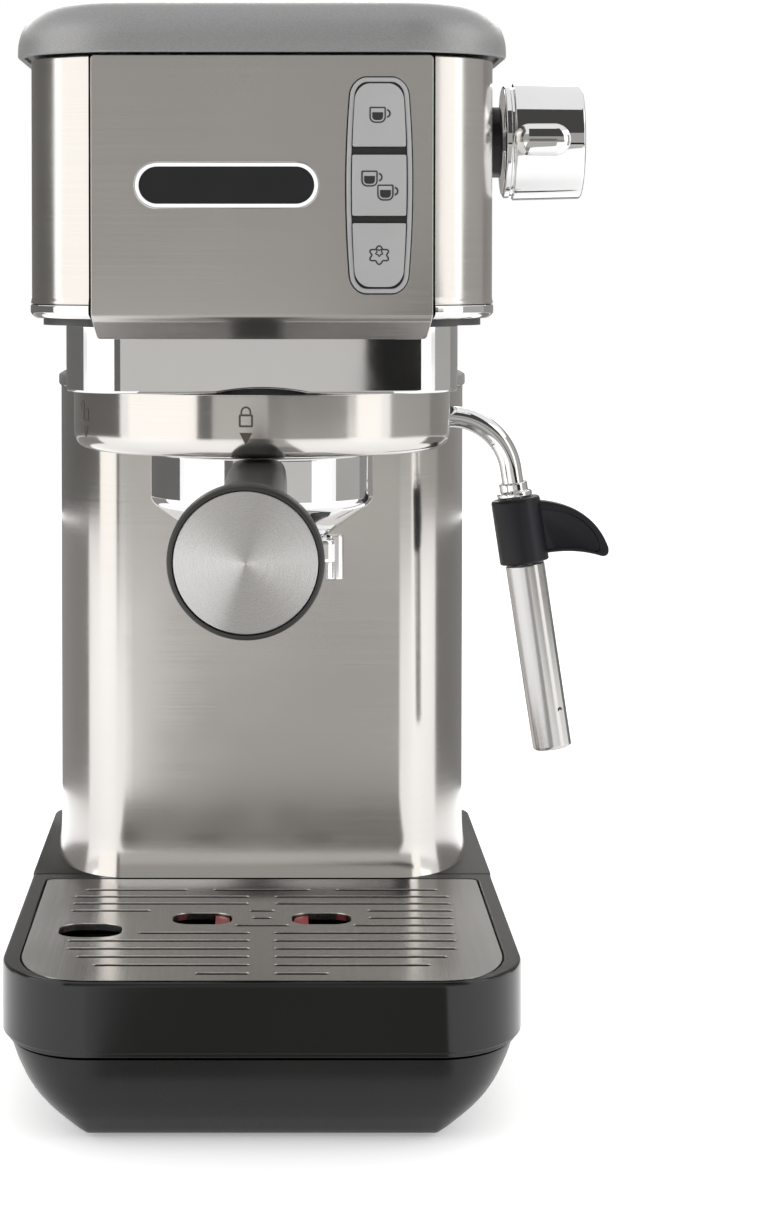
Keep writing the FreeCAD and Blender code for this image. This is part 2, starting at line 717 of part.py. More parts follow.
# --- front controls -----------------------------------------------------------
def rounded_front(x, z, radius, y0, y1):
    """Upright plate facing the front, with rounded corners, between y0 and y1."""
    half = ((x[1] - x[0]) / 2, (z[1] - z[0]) / 2)
    slab = block(half[0], -half[1], half[1], (radius, radius), (radius, radius), 0, y1 - y0)
    slab.rotate(V(0, 0, 0), V(1, 0, 0), 90)
    slab.translate(V((x[0] + x[1]) / 2, y1, (z[0] + z[1]) / 2))
    return slab


def bezel_block(grow, y0, y1):
    """Outside of the button bezel, grown by grow."""
    x = (BEZEL_X[0] - grow, BEZEL_X[1] + grow)
    z = (BEZEL_Z[0] - grow, BEZEL_Z[1] + grow)
    return rounded_front(x, z, 5.0 + grow, y0, y1)


def button_bezel():
    """Frame round the three buttons."""
    x = (BUTTON_X[0] - 0.4, BUTTON_X[1] + 0.4)
    z = (BUTTON_Z["button_steam"][0] - 0.6, BUTTON_Z["button_one_cup"][1] + 0.6)
    return bezel_block(0.0, BEZEL_FACE, -117.6).cut(rounded_front(x, z, 4.0, -130, -110))


def button(name):
    """One push button, a rounded key with a plunger behind it."""
    z0, z1 = BUTTON_Z[name]
    key = rounded_front(BUTTON_X, (z0, z1), 3.4, BUTTON_FACE, BUTTON_BACK)
    edges = [e for e in key.Edges if abs(e.CenterOfMass.y - BUTTON_FACE) < 0.01]
    return key.makeFillet(0.7, edges)


def badge_plate():
    """Plain stadium badge."""
    half = (BADGE_SIZE[0] / 2 - BADGE_RIM - 0.1, BADGE_SIZE[1] / 2 - BADGE_RIM - 0.1)
    x = (BADGE_X - half[0], BADGE_X + half[0])
    z = (BADGE_Z - half[1], BADGE_Z + half[1])
    return rounded_front(x, z, half[1] - 0.01, FRONT_Y - 1.3, FRONT_Y)


def badge_rim():
    """Bright rim round the badge."""
    half = (BADGE_SIZE[0] / 2, BADGE_SIZE[1] / 2)
    x, z = about(BADGE_X, half[0]), about(BADGE_Z, half[1])
    outer = rounded_front(x, z, half[1] - 0.01, FRONT_Y - 1.7, FRONT_Y)
    inner_x = about(BADGE_X, half[0] - BADGE_RIM)
    inner_z = about(BADGE_Z, half[1] - BADGE_RIM)
    inner = rounded_front(inner_x, inner_z, half[1] - BADGE_RIM - 0.01, FRONT_Y - 3, FRONT_Y + 1)
    return outer.cut(inner)


def control_board():
    """Board with three tact switches behind the buttons."""
    board = box((18, 47), (-113.4, -111.8), (244, 309))
    middle_x = (BUTTON_X[0] + BUTTON_X[1]) / 2
    parts = [board]
    for z0, z1 in BUTTON_Z.values():
        z = (z0 + z1) / 2
        parts.append(box((middle_x - 3, middle_x + 3), (-114.9, -113.0), (z - 3, z + 3)))
    return fuse(parts)


# --- works inside -------------------------------------------------------------
def thermoblock():
    """Cast heater block over the group, ribbed on top, with two thermostats behind it."""
    body = box((-34, 26), (-94, -20), (224, 254))
    ribs = [box((-34, 26), (y, y + 4), (252, 260)) for y in range(-90, -24, 11)]
    thermostats = [rod(V(x, -15.5, 240), V(x, -19.8, 240), 7.0) for x in (-22, 14)]
    return Part.makeCompound([fuse([body] + ribs)] + thermostats)


def pump():
    """Upright vibration pump with its coil."""
    body = rod(V(0, 46, 72), V(0, 46, 178), 15.0)
    coil = box((-24, 24), (26, 66), (98, 146))
    inlet = rod(V(0, 46, 64), V(0, 46, 74), 5.0)
    outlet = rod(V(0, 46, 176), V(0, 46, 186), 5.0)
    return fuse([body, coil, inlet, outlet])


def pump_mounts():
    """Two rubber collars that hang the pump on the back wall."""
    mounts = []
    for z in (82.0, 160.0):
        collar = ring(V(0, 46, z), V(0, 46, z + 8), 19.0, 15.2)
        arm = box((-6, 6), (64, BACK_WALL_Y - 0.1), (z, z + 8))
        mounts.append(fuse([collar, arm]))
    return Part.makeCompound(mounts)


def solenoid_valve():
    """Three-way valve behind the heater block."""
    return fuse([box((-50, -26), (10, 36), (242, 276)), rod(V(-38, 23, 275), V(-38, 23, 296), 8.0)])


def steam_valve():
    """Valve body that the spindle screws into."""
    body = box((34, 56), (KNOB_Y - 10, KNOB_Y + 10), (KNOB_Z - 10, KNOB_Z + 10))
    return body.cut(rod(V(40, KNOB_Y, KNOB_Z), V(60, KNOB_Y, KNOB_Z), SPINDLE_R + RUNNING_GAP))


def hoses():
    """Suction, pressure and steam hoses between tank, pump, heater block, valve and wand."""
    suction = hose([V(0, 110, 49), V(0, 110, 36), V(0, 46, 36), V(0, 46, 63.8)], 9.0, 3.5, 2.0)
    pressure = hose([V(0, 46, 186.2), V(0, 46, 238), V(0, -15.2, 238)], 14.0, 3.0, 1.6)
    steam = hose([V(26.2, -40, 240), V(44, -40, 240), V(44, -60, 258), V(44, -60, 281.3)], 8.0, 2.5, 1.4)
    start = V(45, KNOB_Y + 10.2, KNOB_Z)
    over_wand = V(SWIVEL.x, SWIVEL.y, 262)
    wand = hose([start, V(45, -22, KNOB_Z), over_wand, SWIVEL + UP * (PIPE_TOP + 8)], 8.0, 2.5, 1.4)
    return Part.makeCompound([suction, pressure, steam, wand])


def tank_socket():
    """Seat in the deck with the spigot that opens the tank's valve."""
    flange = ring(V(0, SOCKET_Y, BASE_TOP), V(0, SOCKET_Y, 51.4), 12.0, 2.0)
    spigot = ring(V(0, SOCKET_Y, BASE_TOP), V(0, SOCKET_Y, 60.0), SPIGOT_R, 2.0)
    return fuse([flange, spigot])


# --- steam knob and wand --------------------------------------------------------
def knob_bushing():
    """Dark collar between the head's side and the knob."""
    bush = ring(V(66.0, KNOB_Y, KNOB_Z), V(73.3, KNOB_Y, KNOB_Z), 8.8, SPINDLE_R + RUNNING_GAP)
    return bush.fuse(ring(V(68.7, KNOB_Y, KNOB_Z), V(73.3, KNOB_Y, KNOB_Z), 11.0, SPINDLE_R + RUNNING_GAP))


def steam_knob():
    """Round knob with a thumb ridge along its front."""
    x0, x1 = KNOB_X
    body = rod(V(x0, KNOB_Y, KNOB_Z), V(x1, KNOB_Y, KNOB_Z), KNOB_R)
    body = body.makeFillet(1.2, [e for e in body.Edges if abs(e.CenterOfMass.x - x1) < 0.01])
    body = body.makeFillet(1.0, [e for e in body.Edges if abs(e.CenterOfMass.x - x0) < 0.01])
    ridge = rounded_front((x0 + 2, x0 + 19.8), about(KNOB_Z, 5), 4.9, KNOB_Y - KNOB_R - 1.6, KNOB_Y - 10)
    bore = rod(V(x0 - 1, KNOB_Y, KNOB_Z), V(x0 + 14, KNOB_Y, KNOB_Z), SPINDLE_R + 0.1)
    return fuse([body, ridge]).cut(bore)


def valve_spindle():
    """Spindle from the valve to the knob."""
    return rod(V(42, KNOB_Y, KNOB_Z), V(KNOB_X[0] + 13, KNOB_Y, KNOB_Z), SPINDLE_R)


def wand_point(z):
    """Point on the leaning wand's axis at height z."""
    x, at = WAND_X_AT
    return V(x + (at - z) * WAND_LEAN, SWIVEL.y, z)


def wand_swivel_bush():
    """Bush in the band's floor that the wand turns in."""
    bore = PIPE_R + RUNNING_GAP
    sleeve = ring(SWIVEL + UP * 214.0, SWIVEL + UP * 226.0, 6.0, bore)
    flange = ring(SWIVEL + UP * 218.1, SWIVEL + UP * 220.0, 6.5, bore)
    return fuse([sleeve, flange])


def wand_pipe():
    """Bent steam pipe: up into the swivel, out to the right, then down."""
    points = [SWIVEL + UP * PIPE_TOP, SWIVEL + UP * PIPE_RUN_Z, wand_point(PIPE_RUN_Z)]
    points.append(wand_point(NOZZLE_Z[0] - 6))
    return hose(points, PIPE_BENDS, PIPE_R, PIPE_BORE_R)


def wand_nut():
    """Round nut above the grip."""
    return ring(wand_point(NUT_Z[0]), wand_point(NUT_Z[1]), 5.2, PIPE_R + 0.15)


def wand_grip():
    """Black grip with a curved fin for the thumb."""
    top, low = wand_point(GRIP_Z[0]), wand_point(GRIP_Z[1])
    body = rod(top, low, WAND_GRIP_R)
    body = body.makeFillet(2.0, [e for e in body.Edges if e.CenterOfMass.z > GRIP_Z[0] - 2])
    y = SWIVEL.y
    heel = V(88.0, y, 176.4)
    tip = V(113.0, y, 161.6)
    nose = V(111.2, y, 158.6)
    foot = V(90.0, y, 158.8)
    edges = [
        Part.Arc(heel, V(104.0, y, 172.6), tip).toShape(),
        Part.Arc(tip, V(113.1, y, 159.4), nose).toShape(),
        Part.Arc(nose, V(101.0, y, 160.6), foot).toShape(),
        Part.makeLine(foot, heel),
    ]
    fin = Part.Face(Part.Wire(edges)).extrude(V(0, 5.0, 0))
    fin.translate(V(0, -2.5, 0))
    return fuse([body, fin]).cut(rod(wand_point(190), wand_point(150), PIPE_R + 0.15))


def wand_nozzle():
    """Nozzle on the pipe's end, inside the sleeve."""
    top, low = NOZZLE_Z
    body = rod(wand_point(top), wand_point(low), NOZZLE_R)
    body = body.cut(rod(wand_point(top + 5), wand_point(top - 8), PIPE_R + 0.15))
    return body.cut(rod(wand_point(top), wand_point(low - 5), 1.2))


def frothing_sleeve():
    """Steel sleeve that slides on the nozzle, with an air hole."""
    top, low = SLEEVE_Z
    body = rod(wand_point(top), wand_point(low), SLEEVE_R)
    body = body.makeFillet(1.0, [e for e in body.Edges if e.CenterOfMass.z < low + 2 and e.Length > 10])
    body = body.cut(rod(wand_point(top + 5), wand_point(104), NOZZLE_R + RUNNING_GAP))
    body = body.cut(rod(wand_point(110), wand_point(low - 5), 3.2))
    hole = wand_point(108.5)
    return body.cut(rod(hole, hole + V(10, 0, 0), 0.9))


# --- portafilter ----------------------------------------------------------------
def on_handle(shape):
    """Lay a shape turned about the vertical onto the handle's sloping axis."""
    shape.rotate(V(0, 0, 0), V(1, 0, 0), 90 + PITCH_DEG)
    shape.rotate(V(0, 0, 0), UP, -YAW_DEG)
    shape.translate(V(0, GROUP_Y, AXIS_Z))
    return shape


def with_yaw(shape):
    """Turn a shape of the portafilter to the handle's direction."""
    shape.rotate(GROUP, UP, -YAW_DEG)
    return shape


def handle_rod(start, end, radius):
    """Cylinder along the handle's axis, by distances from the group axis."""
    return on_handle(rod(UP * start, UP * end, radius))


def portafilter_bowl():
    """Chromed bowl with three bayonet ears, a cone below and the handle's boss."""
    inside = [(4.0, CONE_Z), (4.0, BOWL_FLOOR_Z), (BOWL_IN_R, BOWL_FLOOR_Z), (BOWL_IN_R, BOWL_RIM_Z)]
    bowl = turned(BOWL_OUTSIDE + inside, GROUP)
    step = 360 / EAR_COUNT
    ears = [
        sector(BOWL_NECK_R - 0.6, EAR_R, EAR_Z[0], EAR_Z[1], 30 + step * k, EAR_WIDTH_DEG, GROUP)
        for k in range(EAR_COUNT)
    ]
    boss = handle_rod(30.5, 45.7, 7.3)
    body = with_yaw(fuse([bowl] + ears)).fuse(boss).removeSplitter()
    groove = Part.makeTorus(BOWL_IN_R, 0.9, GROUP + UP * 199)
    return body.cut(groove).cut(handle_rod(31.0, 60.0, BOLT_R + 0.1))


def filter_basket():
    """Pressed steel basket with a perforated floor."""
    rim = BOWL_RIM_Z + 0.7
    inner = BASKET_R - BASKET_WALL
    floor = BASKET_FLOOR + BASKET_WALL
    cup = turned(
        [
            (0.0, BASKET_FLOOR),
            (BASKET_R, BASKET_FLOOR),
            (BASKET_R, BOWL_RIM_Z),
            (30.9, BOWL_RIM_Z),
            (30.9, rim),
            (inner, rim),
            (inner, floor),
            (0.0, floor),
        ],
        GROUP,
    )
    return cup.cut(Part.makeCompound(hole_rings(4, 5.4, 0.6, BASKET_FLOOR - 1, floor + 1)))


def basket_spring():
    """Wire ring in the bowl's groove that grips the basket."""
    return Part.makeTorus(BOWL_IN_R - 0.22, 0.38, GROUP + UP * 199)


def spout_block():
    """Double spout: a bridge under the cone with a tube at each end."""
    bridge_z = 164.6
    bridge_r = 3.6
    reach = SPOUT_X
    bridge = rod(V(-reach, GROUP_Y, bridge_z), V(reach, GROUP_Y, bridge_z), bridge_r)
    hub = rod(GROUP + UP * 160.6, GROUP + UP * 168.0, 9.0)
    parts = [bridge, hub]
    for side in (-1, 1):
        place = V(side * reach, GROUP_Y, 0)
        parts.append(rod(place + UP * SPOUT_END_Z, place + UP * 172.0, SPOUT_R))
        parts.append(Part.makeSphere(bridge_r, place + UP * bridge_z))
    body = fuse(parts).cut(turned(BOWL_OUTSIDE + [(0.0, CONE_Z), (0.0, BOWL_RIM_Z)], GROUP))
    body = body.cut(rod(V(-reach, GROUP_Y, bridge_z), V(reach, GROUP_Y, bridge_z), SPOUT_BORE_R))
    body = body.cut(rod(GROUP + UP * bridge_z, GROUP + UP * 170, 3.0))
    for side in (-1, 1):
        place = V(side * reach, GROUP_Y, 0)
        body = body.cut(rod(place + UP * 150, place + UP * (bridge_z + 1.5), SPOUT_BORE_R))
    return with_yaw(body)


def handle_grip():
    """Grip that flares from a slim neck to a wide end."""
    curve = Part.BSplineCurve()
    curve.interpolate([V(r, 0, s) for s, r in GRIP_PROFILE])
    start, neck_r = GRIP_PROFILE[0]
    last, wide_r = GRIP_PROFILE[-1]
    edges = [
        Part.makeLine(V(0, 0, start), V(neck_r, 0, start)),
        curve.toShape(),
        Part.makeLine(V(wide_r, 0, last), V(wide_r, 0, GRIP_END - 1.6)),
        Part.makeLine(V(wide_r, 0, GRIP_END - 1.6), V(GRIP_END_R, 0, GRIP_END)),
        Part.makeLine(V(GRIP_END_R, 0, GRIP_END), V(0, 0, GRIP_END)),
        Part.makeLine(V(0, 0, GRIP_END), V(0, 0, start)),
    ]
    solid = Part.Face(Part.Wire(edges)).revolve(V(0, 0, 0), UP, 360)
    solid = solid.cut(rod(UP * (GRIP_END - 2.2), UP * (GRIP_END + 1), CAP_R + 0.1))
    solid = solid.cut(rod(UP * (start - 1), UP * 140.0, BOLT_R + 0.1))
    return on_handle(solid)


def handle_cap():
    """Steel disc in the grip's end, very slightly coned."""
    back = GRIP_END - 2.1
    edge = GRIP_END - 0.4
    return on_handle(turned([(0.0, back), (CAP_R, back), (CAP_R, edge), (0.0, GRIP_END + 0.5)]))


def handle_bolt():
    """Bolt from the boss into the grip."""
    return handle_rod(31.4, 139.0, BOLT_R)


# --- tray -------------------------------------------------------------------------
def grate_block(grow, z0, z1):
    """Solid on the grate's plan, grown by grow."""
    front = [c + grow for c in GRATE_CORNER]
    rear = [c + grow for c in GRATE_SQUARE]
    return block(GRATE_HALF + grow, GRATE_FRONT - grow, GRATE_REAR + grow, front, rear, z0, z1)


def drip_tray():
    """Deep tray that forms the front of the base, notched for the column."""
    body = block(BASE_HALF, BASE_FRONT, TRAY_REAR, BASE_FRONT_CORNER, (0.6, 0.6), TRAY_BOTTOM, BASE_TOP)
    t = TRAY_STEP
    low_corner = [c - t for c in BASE_FRONT_CORNER]
    low = block(BASE_HALF - t, BASE_FRONT + t, TRAY_REAR, low_corner, (0.6, 0.6), 20, TRAY_STEP_Z)
    step = box((-100, 100), (-200, 100), (TRAY_BOTTOM - 1, TRAY_STEP_Z)).cut(low)
    body = body.cut(step).cut(column_block(0.6, 0, 100))
    body = body.cut(grate_block(0.5, GRATE_SEAT, BASE_TOP + 1))
    body = body.cut(grate_block(-TRAY_LEDGE, TRAY_FLOOR, BASE_TOP + 1))
    z0, z1 = TRAY_FLOOR - 1, FLOAT_POST_TOP
    posts = [rod(V(x, DRAIN_Y, z0), V(x, DRAIN_Y, z1), FLOAT_POST_R) for x in (-FLOAT_POST_X, FLOAT_POST_X)]
    return fuse([body] + posts)


def slot(x0, x1, y):
    """Cutter for one slot with round ends."""
    r = SLOT_W / 2
    z0, z1 = GRATE_TOP - 3, GRATE_TOP + 1
    ends = [rod(V(x, y, z0), V(x, y, z1), r) for x in (x0 + r, x1 - r)]
    return fuse([box((x0 + r, x1 - r), (y - r, y + r), (z0, z1))] + ends)


def window(x, y, half, corner, z0, z1):
    """Upright solid with rounded corners about a point of the grate."""
    solid = block(half[0], -half[1], half[1], (corner, corner), (corner, corner), z0, z1)
    solid.translate(V(x, y, 0))
    return solid


def drip_grate():
    """Steel grate with rows of slots, two drain windows and a finger hole."""
    plate = grate_block(0.0, GRATE_TOP - GRATE_T, GRATE_TOP)
    rim = grate_block(0.0, GRATE_SEAT, GRATE_TOP - GRATE_T).cut(grate_block(-SKIRT_T, 0, 100))
    cutters = []
    for row, spans in enumerate(SLOT_ROWS):
        y = SLOT_FIRST_Y + SLOT_PITCH * row
        cutters += [slot(x0, x1, y) for x0, x1 in spans]
    cutters += [window(side * DRAIN_X, DRAIN_Y, DRAIN_HALF, DRAIN_CORNER, 40, 60) for side in (-1, 1)]
    cutters.append(window(FINGER_HOLE.x, FINGER_HOLE.y, FINGER_HALF, FINGER_CORNER, 40, 60))
    return fuse([plate, rim]).cut(Part.makeCompound(cutters))


def tray_float():
    """Red float on the tray's two posts, with a nub in each of the grate's drain windows."""
    hx, hy = FLOAT_HALF
    body = box((-hx, hx), (DRAIN_Y - hy, DRAIN_Y + hy), FLOAT_Z)
    body = body.makeFillet(FLOAT_EDGE, [e for e in body.Edges if abs(e.CenterOfMass.z - FLOAT_Z[1]) < 0.01])
    half = [h - FLOAT_NUB_GAP for h in DRAIN_HALF]
    for side in (-1, 1):
        nub = window(side * DRAIN_X, DRAIN_Y, half, DRAIN_CORNER, FLOAT_Z[1] - 1, FLOAT_NUB_TOP)
        body = body.fuse(nub.common(box((-hx, hx), about(DRAIN_Y, hy), (0, 100))))
    for x in (-FLOAT_POST_X, FLOAT_POST_X):
        body = body.cut(rod(V(x, DRAIN_Y, 20), V(x, DRAIN_Y, 60), FLOAT_POST_R + 0.5))
    return body


# --- tank -------------------------------------------------------------------------
def water_tank():
    """Tall tank behind the column, with lugs for the lid's pin."""
    y0, y1 = TANK_Y
    z0, z1 = TANK_Z
    t = TANK_WALL
    outer = block(TANK_HALF, y0, y1, TANK_CORNER, TANK_REAR_CORNER, z0, z1)
    inner = block(TANK_HALF - t, y0 + t, y1 - t, (1.0, 1.0), (20 - t, 20 - t), z0 + t, z1 + 5)
    tank = outer.cut(inner)
    lugs = []
    for side in (-1, 1):
        x = sorted((side * LUG_X[0], side * LUG_X[1]))
        start = V(x[0], LID_PIN.y, LID_PIN.z)
        eye = rod(start, start + V(x[1] - x[0], 0, 0), KNUCKLE_R - 0.1)
        lugs.append(fuse([eye, box(x, (131.8, 133.9), (z1 - 2, LID_PIN.z))]))
    tank = fuse([tank] + lugs)
    tank = tank.cut(rod(V(-80, LID_PIN.y, LID_PIN.z), V(80, LID_PIN.y, LID_PIN.z), LID_PIN_R + RUNNING_GAP))
    return tank.cut(rod(V(0, SOCKET_Y, z0 - 1), V(0, SOCKET_Y, z0 + 5), VALVE_R + 0.2))


def tank_valve():
    """Valve insert in the tank's floor."""
    sleeve = ring(V(0, SOCKET_Y, 52.0), V(0, SOCKET_Y, 66.0), VALVE_R, SPIGOT_R + 0.5)
    roof = rod(V(0, SOCKET_Y, 64.0), V(0, SOCKET_Y, 66.0), VALVE_R)
    flange = ring(V(0, SOCKET_Y, 54.3), V(0, SOCKET_Y, 56.0), VALVE_R + 3, SPIGOT_R + 0.5)
    return fuse([sleeve, roof, flange])


def tank_lid():
    """Rear part of the silver top, hinged on the tank."""
    shell = crown_shell().common(box((-100, 100), (COVER_SPLIT + 0.4, 200), (0, 400)))
    knuckles = []
    for side in (-1, 1):
        inner_x = sorted((side * (LUG_X[0] - 6), side * (LUG_X[0] - 0.4)))
        outer_x = sorted((side * (LUG_X[1] + 0.4), side * (LUG_X[1] + 4)))
        notch = box(sorted((side * (LUG_X[0] - 0.4), side * (LUG_X[1] + 0.4))), (129.5, 140), (300, 319.0))
        shell = shell.cut(notch)
        for x in (inner_x, outer_x):
            start = V(x[0], LID_PIN.y, LID_PIN.z)
            knuckles.append(rod(start, start + V(x[1] - x[0], 0, 0), KNUCKLE_R))
            web = box(x, (LID_PIN.y - 1.6, LID_PIN.y + 0.4), (LID_PIN.z, LID_PIN.z + 3))
            knuckles.append(web)
    lid = fuse([shell] + knuckles)
    return lid.cut(rod(V(-60, LID_PIN.y, LID_PIN.z), V(60, LID_PIN.y, LID_PIN.z), LID_PIN_R + RUNNING_GAP))


def lid_pins():
    """Two short steel pins of the lid's hinge."""
    pins = []
    for side in (-1, 1):
        x = sorted((side * (LUG_X[0] - 5), side * (LUG_X[1] + 3.6)))
        pins.append(rod(V(x[0], LID_PIN.y, LID_PIN.z), V(x[1], LID_PIN.y, LID_PIN.z), LID_PIN_R))
    return Part.makeCompound(pins)


NODES = {
    "base_pan": base_pan,
    "bottom_plate": bottom_plate,
    "screws": screws,
    "rubber_feet": rubber_feet,
    "base_deck": base_deck,
    "cord_gland": cord_gland,
    "switch_frame": switch_frame,
    "power_rocker": power_rocker,
    "column_shell": column_shell,
    "back_wall": back_wall,
    "lip_plate": lip_plate,
    "group_surround": group_surround,
    "group_collar": group_collar,
    "group_head": group_head,
    "group_gasket": group_gasket,
    "shower_screen": shower_screen,
    "head_left_panel": head_left_panel,
    "head_right_panel": head_right_panel,
    "head_front_panel": head_front_panel,
    "head_trim": head_trim,
    "head_frame": head_frame,
    "top_cover": top_cover,
    "cup_plate": cup_plate,
    "button_bezel": button_bezel,
    "badge_plate": badge_plate,
    "badge_rim": badge_rim,
    "control_board": control_board,
    "thermoblock": thermoblock,
    "pump": pump,
    "pump_mounts": pump_mounts,
    "solenoid_valve": solenoid_valve,
    "steam_valve": steam_valve,
    "hoses": hoses,
    "tank_socket": tank_socket,
    "knob_bushing": knob_bushing,
    "steam_knob": steam_knob,
    "valve_spindle": valve_spindle,
    "wand_swivel_bush": wand_swivel_bush,
    "wand_pipe": wand_pipe,
    "wand_nut": wand_nut,
    "wand_grip": wand_grip,
    "wand_nozzle": wand_nozzle,
    "frothing_sleeve": frothing_sleeve,
    "portafilter_bowl": portafilter_bowl,
    "filter_basket": filter_basket,
    "basket_spring": basket_spring,
    "spout_block": spout_block,
    "handle_grip": handle_grip,
    "handle_cap": handle_cap,
    "handle_bolt": handle_bolt,
    "drip_tray": drip_tray,
    "drip_grate": drip_grate,
    "tray_float": tray_float,
    "water_tank": water_tank,
    "tank_valve": tank_valve,
    "tank_lid": tank_lid,
    "lid_pins": lid_pins,
}
for button_name in BUTTON_Z:
    NODES[button_name] = lambda name=button_name: button(name)

os.makedirs("parts", exist_ok=True)
for node, make in NODES.items():
    shape = make()
    shape.exportStep(f"parts/{node}.step")
    print(node, shape.isValid(), len(shape.Solids), round(shape.Volume / 1000, 2))
print(len(NODES), "nodes")
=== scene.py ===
"""The looks of a slim espresso machine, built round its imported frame.

Sizes are in millimetres, as in the design.
"""

import json
import logging
import math
from dataclasses import dataclass
from enum import Enum
from typing import Callable, Optional, Sequence

import bmesh
import bpy
import numpy as np
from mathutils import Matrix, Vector
from mathutils.geometry import delaunay_2d_cdt


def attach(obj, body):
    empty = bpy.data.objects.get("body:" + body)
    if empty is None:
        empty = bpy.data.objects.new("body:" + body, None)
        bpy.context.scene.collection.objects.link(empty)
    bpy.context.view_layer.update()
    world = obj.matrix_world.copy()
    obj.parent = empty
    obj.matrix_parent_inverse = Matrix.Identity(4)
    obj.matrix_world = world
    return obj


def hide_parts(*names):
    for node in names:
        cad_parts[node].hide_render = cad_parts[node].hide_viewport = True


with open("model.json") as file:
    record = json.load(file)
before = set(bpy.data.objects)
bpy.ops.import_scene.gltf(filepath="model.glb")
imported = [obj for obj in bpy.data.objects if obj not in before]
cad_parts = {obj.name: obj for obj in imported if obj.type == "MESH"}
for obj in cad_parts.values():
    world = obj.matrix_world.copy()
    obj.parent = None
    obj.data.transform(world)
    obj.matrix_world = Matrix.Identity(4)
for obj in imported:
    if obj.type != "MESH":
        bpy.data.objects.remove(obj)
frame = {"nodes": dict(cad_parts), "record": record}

log = logging.getLogger("machine")

Array = np.ndarray
Socket = bpy.types.NodeSocket
Colour = tuple[float, float, float]
MM = 0.001
SMOOTH_ANGLE = math.radians(32)
BEVEL_ANGLE = math.radians(40)
MERGE_DISTANCE = 2e-6
ARC_SHARE = 0.49
LEAD = 0.2
LEAD_SHARE = 0.495
FINE_STEPS = (120, 36)
GROUP_Y = -56.0


# --- surfaces -------------------------------------------------------------------------------------


def quadratic(start: Array, corner: Array, end: Array, t: Array) -> Array:
    """Quadratic arc at each t from 0 to 1: (1-t)^2 start + 2t(1-t) corner + t^2 end."""
    return (1 - t) ** 2 * start + 2 * t * (1 - t) * corner + t**2 * end


def fillet(points: Sequence[Sequence[float]], radius: float | Sequence[float], steps: int = 6) -> Array:
    """Round the inner corners of an open outline.

    Each corner becomes a quadratic arc that leaves its two sides at the stated distance from the corner.
    One more point on each side of the arc keeps the flat parts flat.

    Args:
        points: the outline's corners, shape (n, 2).
        radius: how far from each inner corner the arc starts, one value or one per inner corner.
        steps: segments in each arc.

    Returns:
        The rounded outline, shape (m, 2).
    """
    p = np.asarray(points, float)
    reach = np.broadcast_to(np.asarray(radius, float), (len(p) - 2,))[:, None]
    corner = p[1:-1]
    before = p[:-2] - corner
    after = p[2:] - corner
    length_b = np.linalg.norm(before, axis=1, keepdims=True)
    length_a = np.linalg.norm(after, axis=1, keepdims=True)
    start = corner + before / length_b * np.minimum(reach, length_b * ARC_SHARE)
    end = corner + after / length_a * np.minimum(reach, length_a * ARC_SHARE)
    t = np.linspace(0, 1, steps + 1)[None, :, None]
    arcs = quadratic(start[:, None], corner[:, None], end[:, None], t)
    lead_in = corner + before / length_b * np.minimum(reach + LEAD, length_b * LEAD_SHARE)
    lead_out = corner + after / length_a * np.minimum(reach + LEAD, length_a * LEAD_SHARE)
    arcs = np.concatenate([lead_in[:, None], arcs, lead_out[:, None]], 1)
    return np.vstack([p[:1], arcs.reshape(-1, 2), p[-1:]])


def closed_fillet(points: Sequence[Sequence[float]], radius: float, steps: int = 5) -> Array:
    """Round every corner of a closed outline, starting midway along its last side."""
    p = np.asarray(points, float)
    middle = (p[-1] + p[0]) / 2
    return fillet(np.vstack([middle, p, middle]), radius, steps)[:-1]


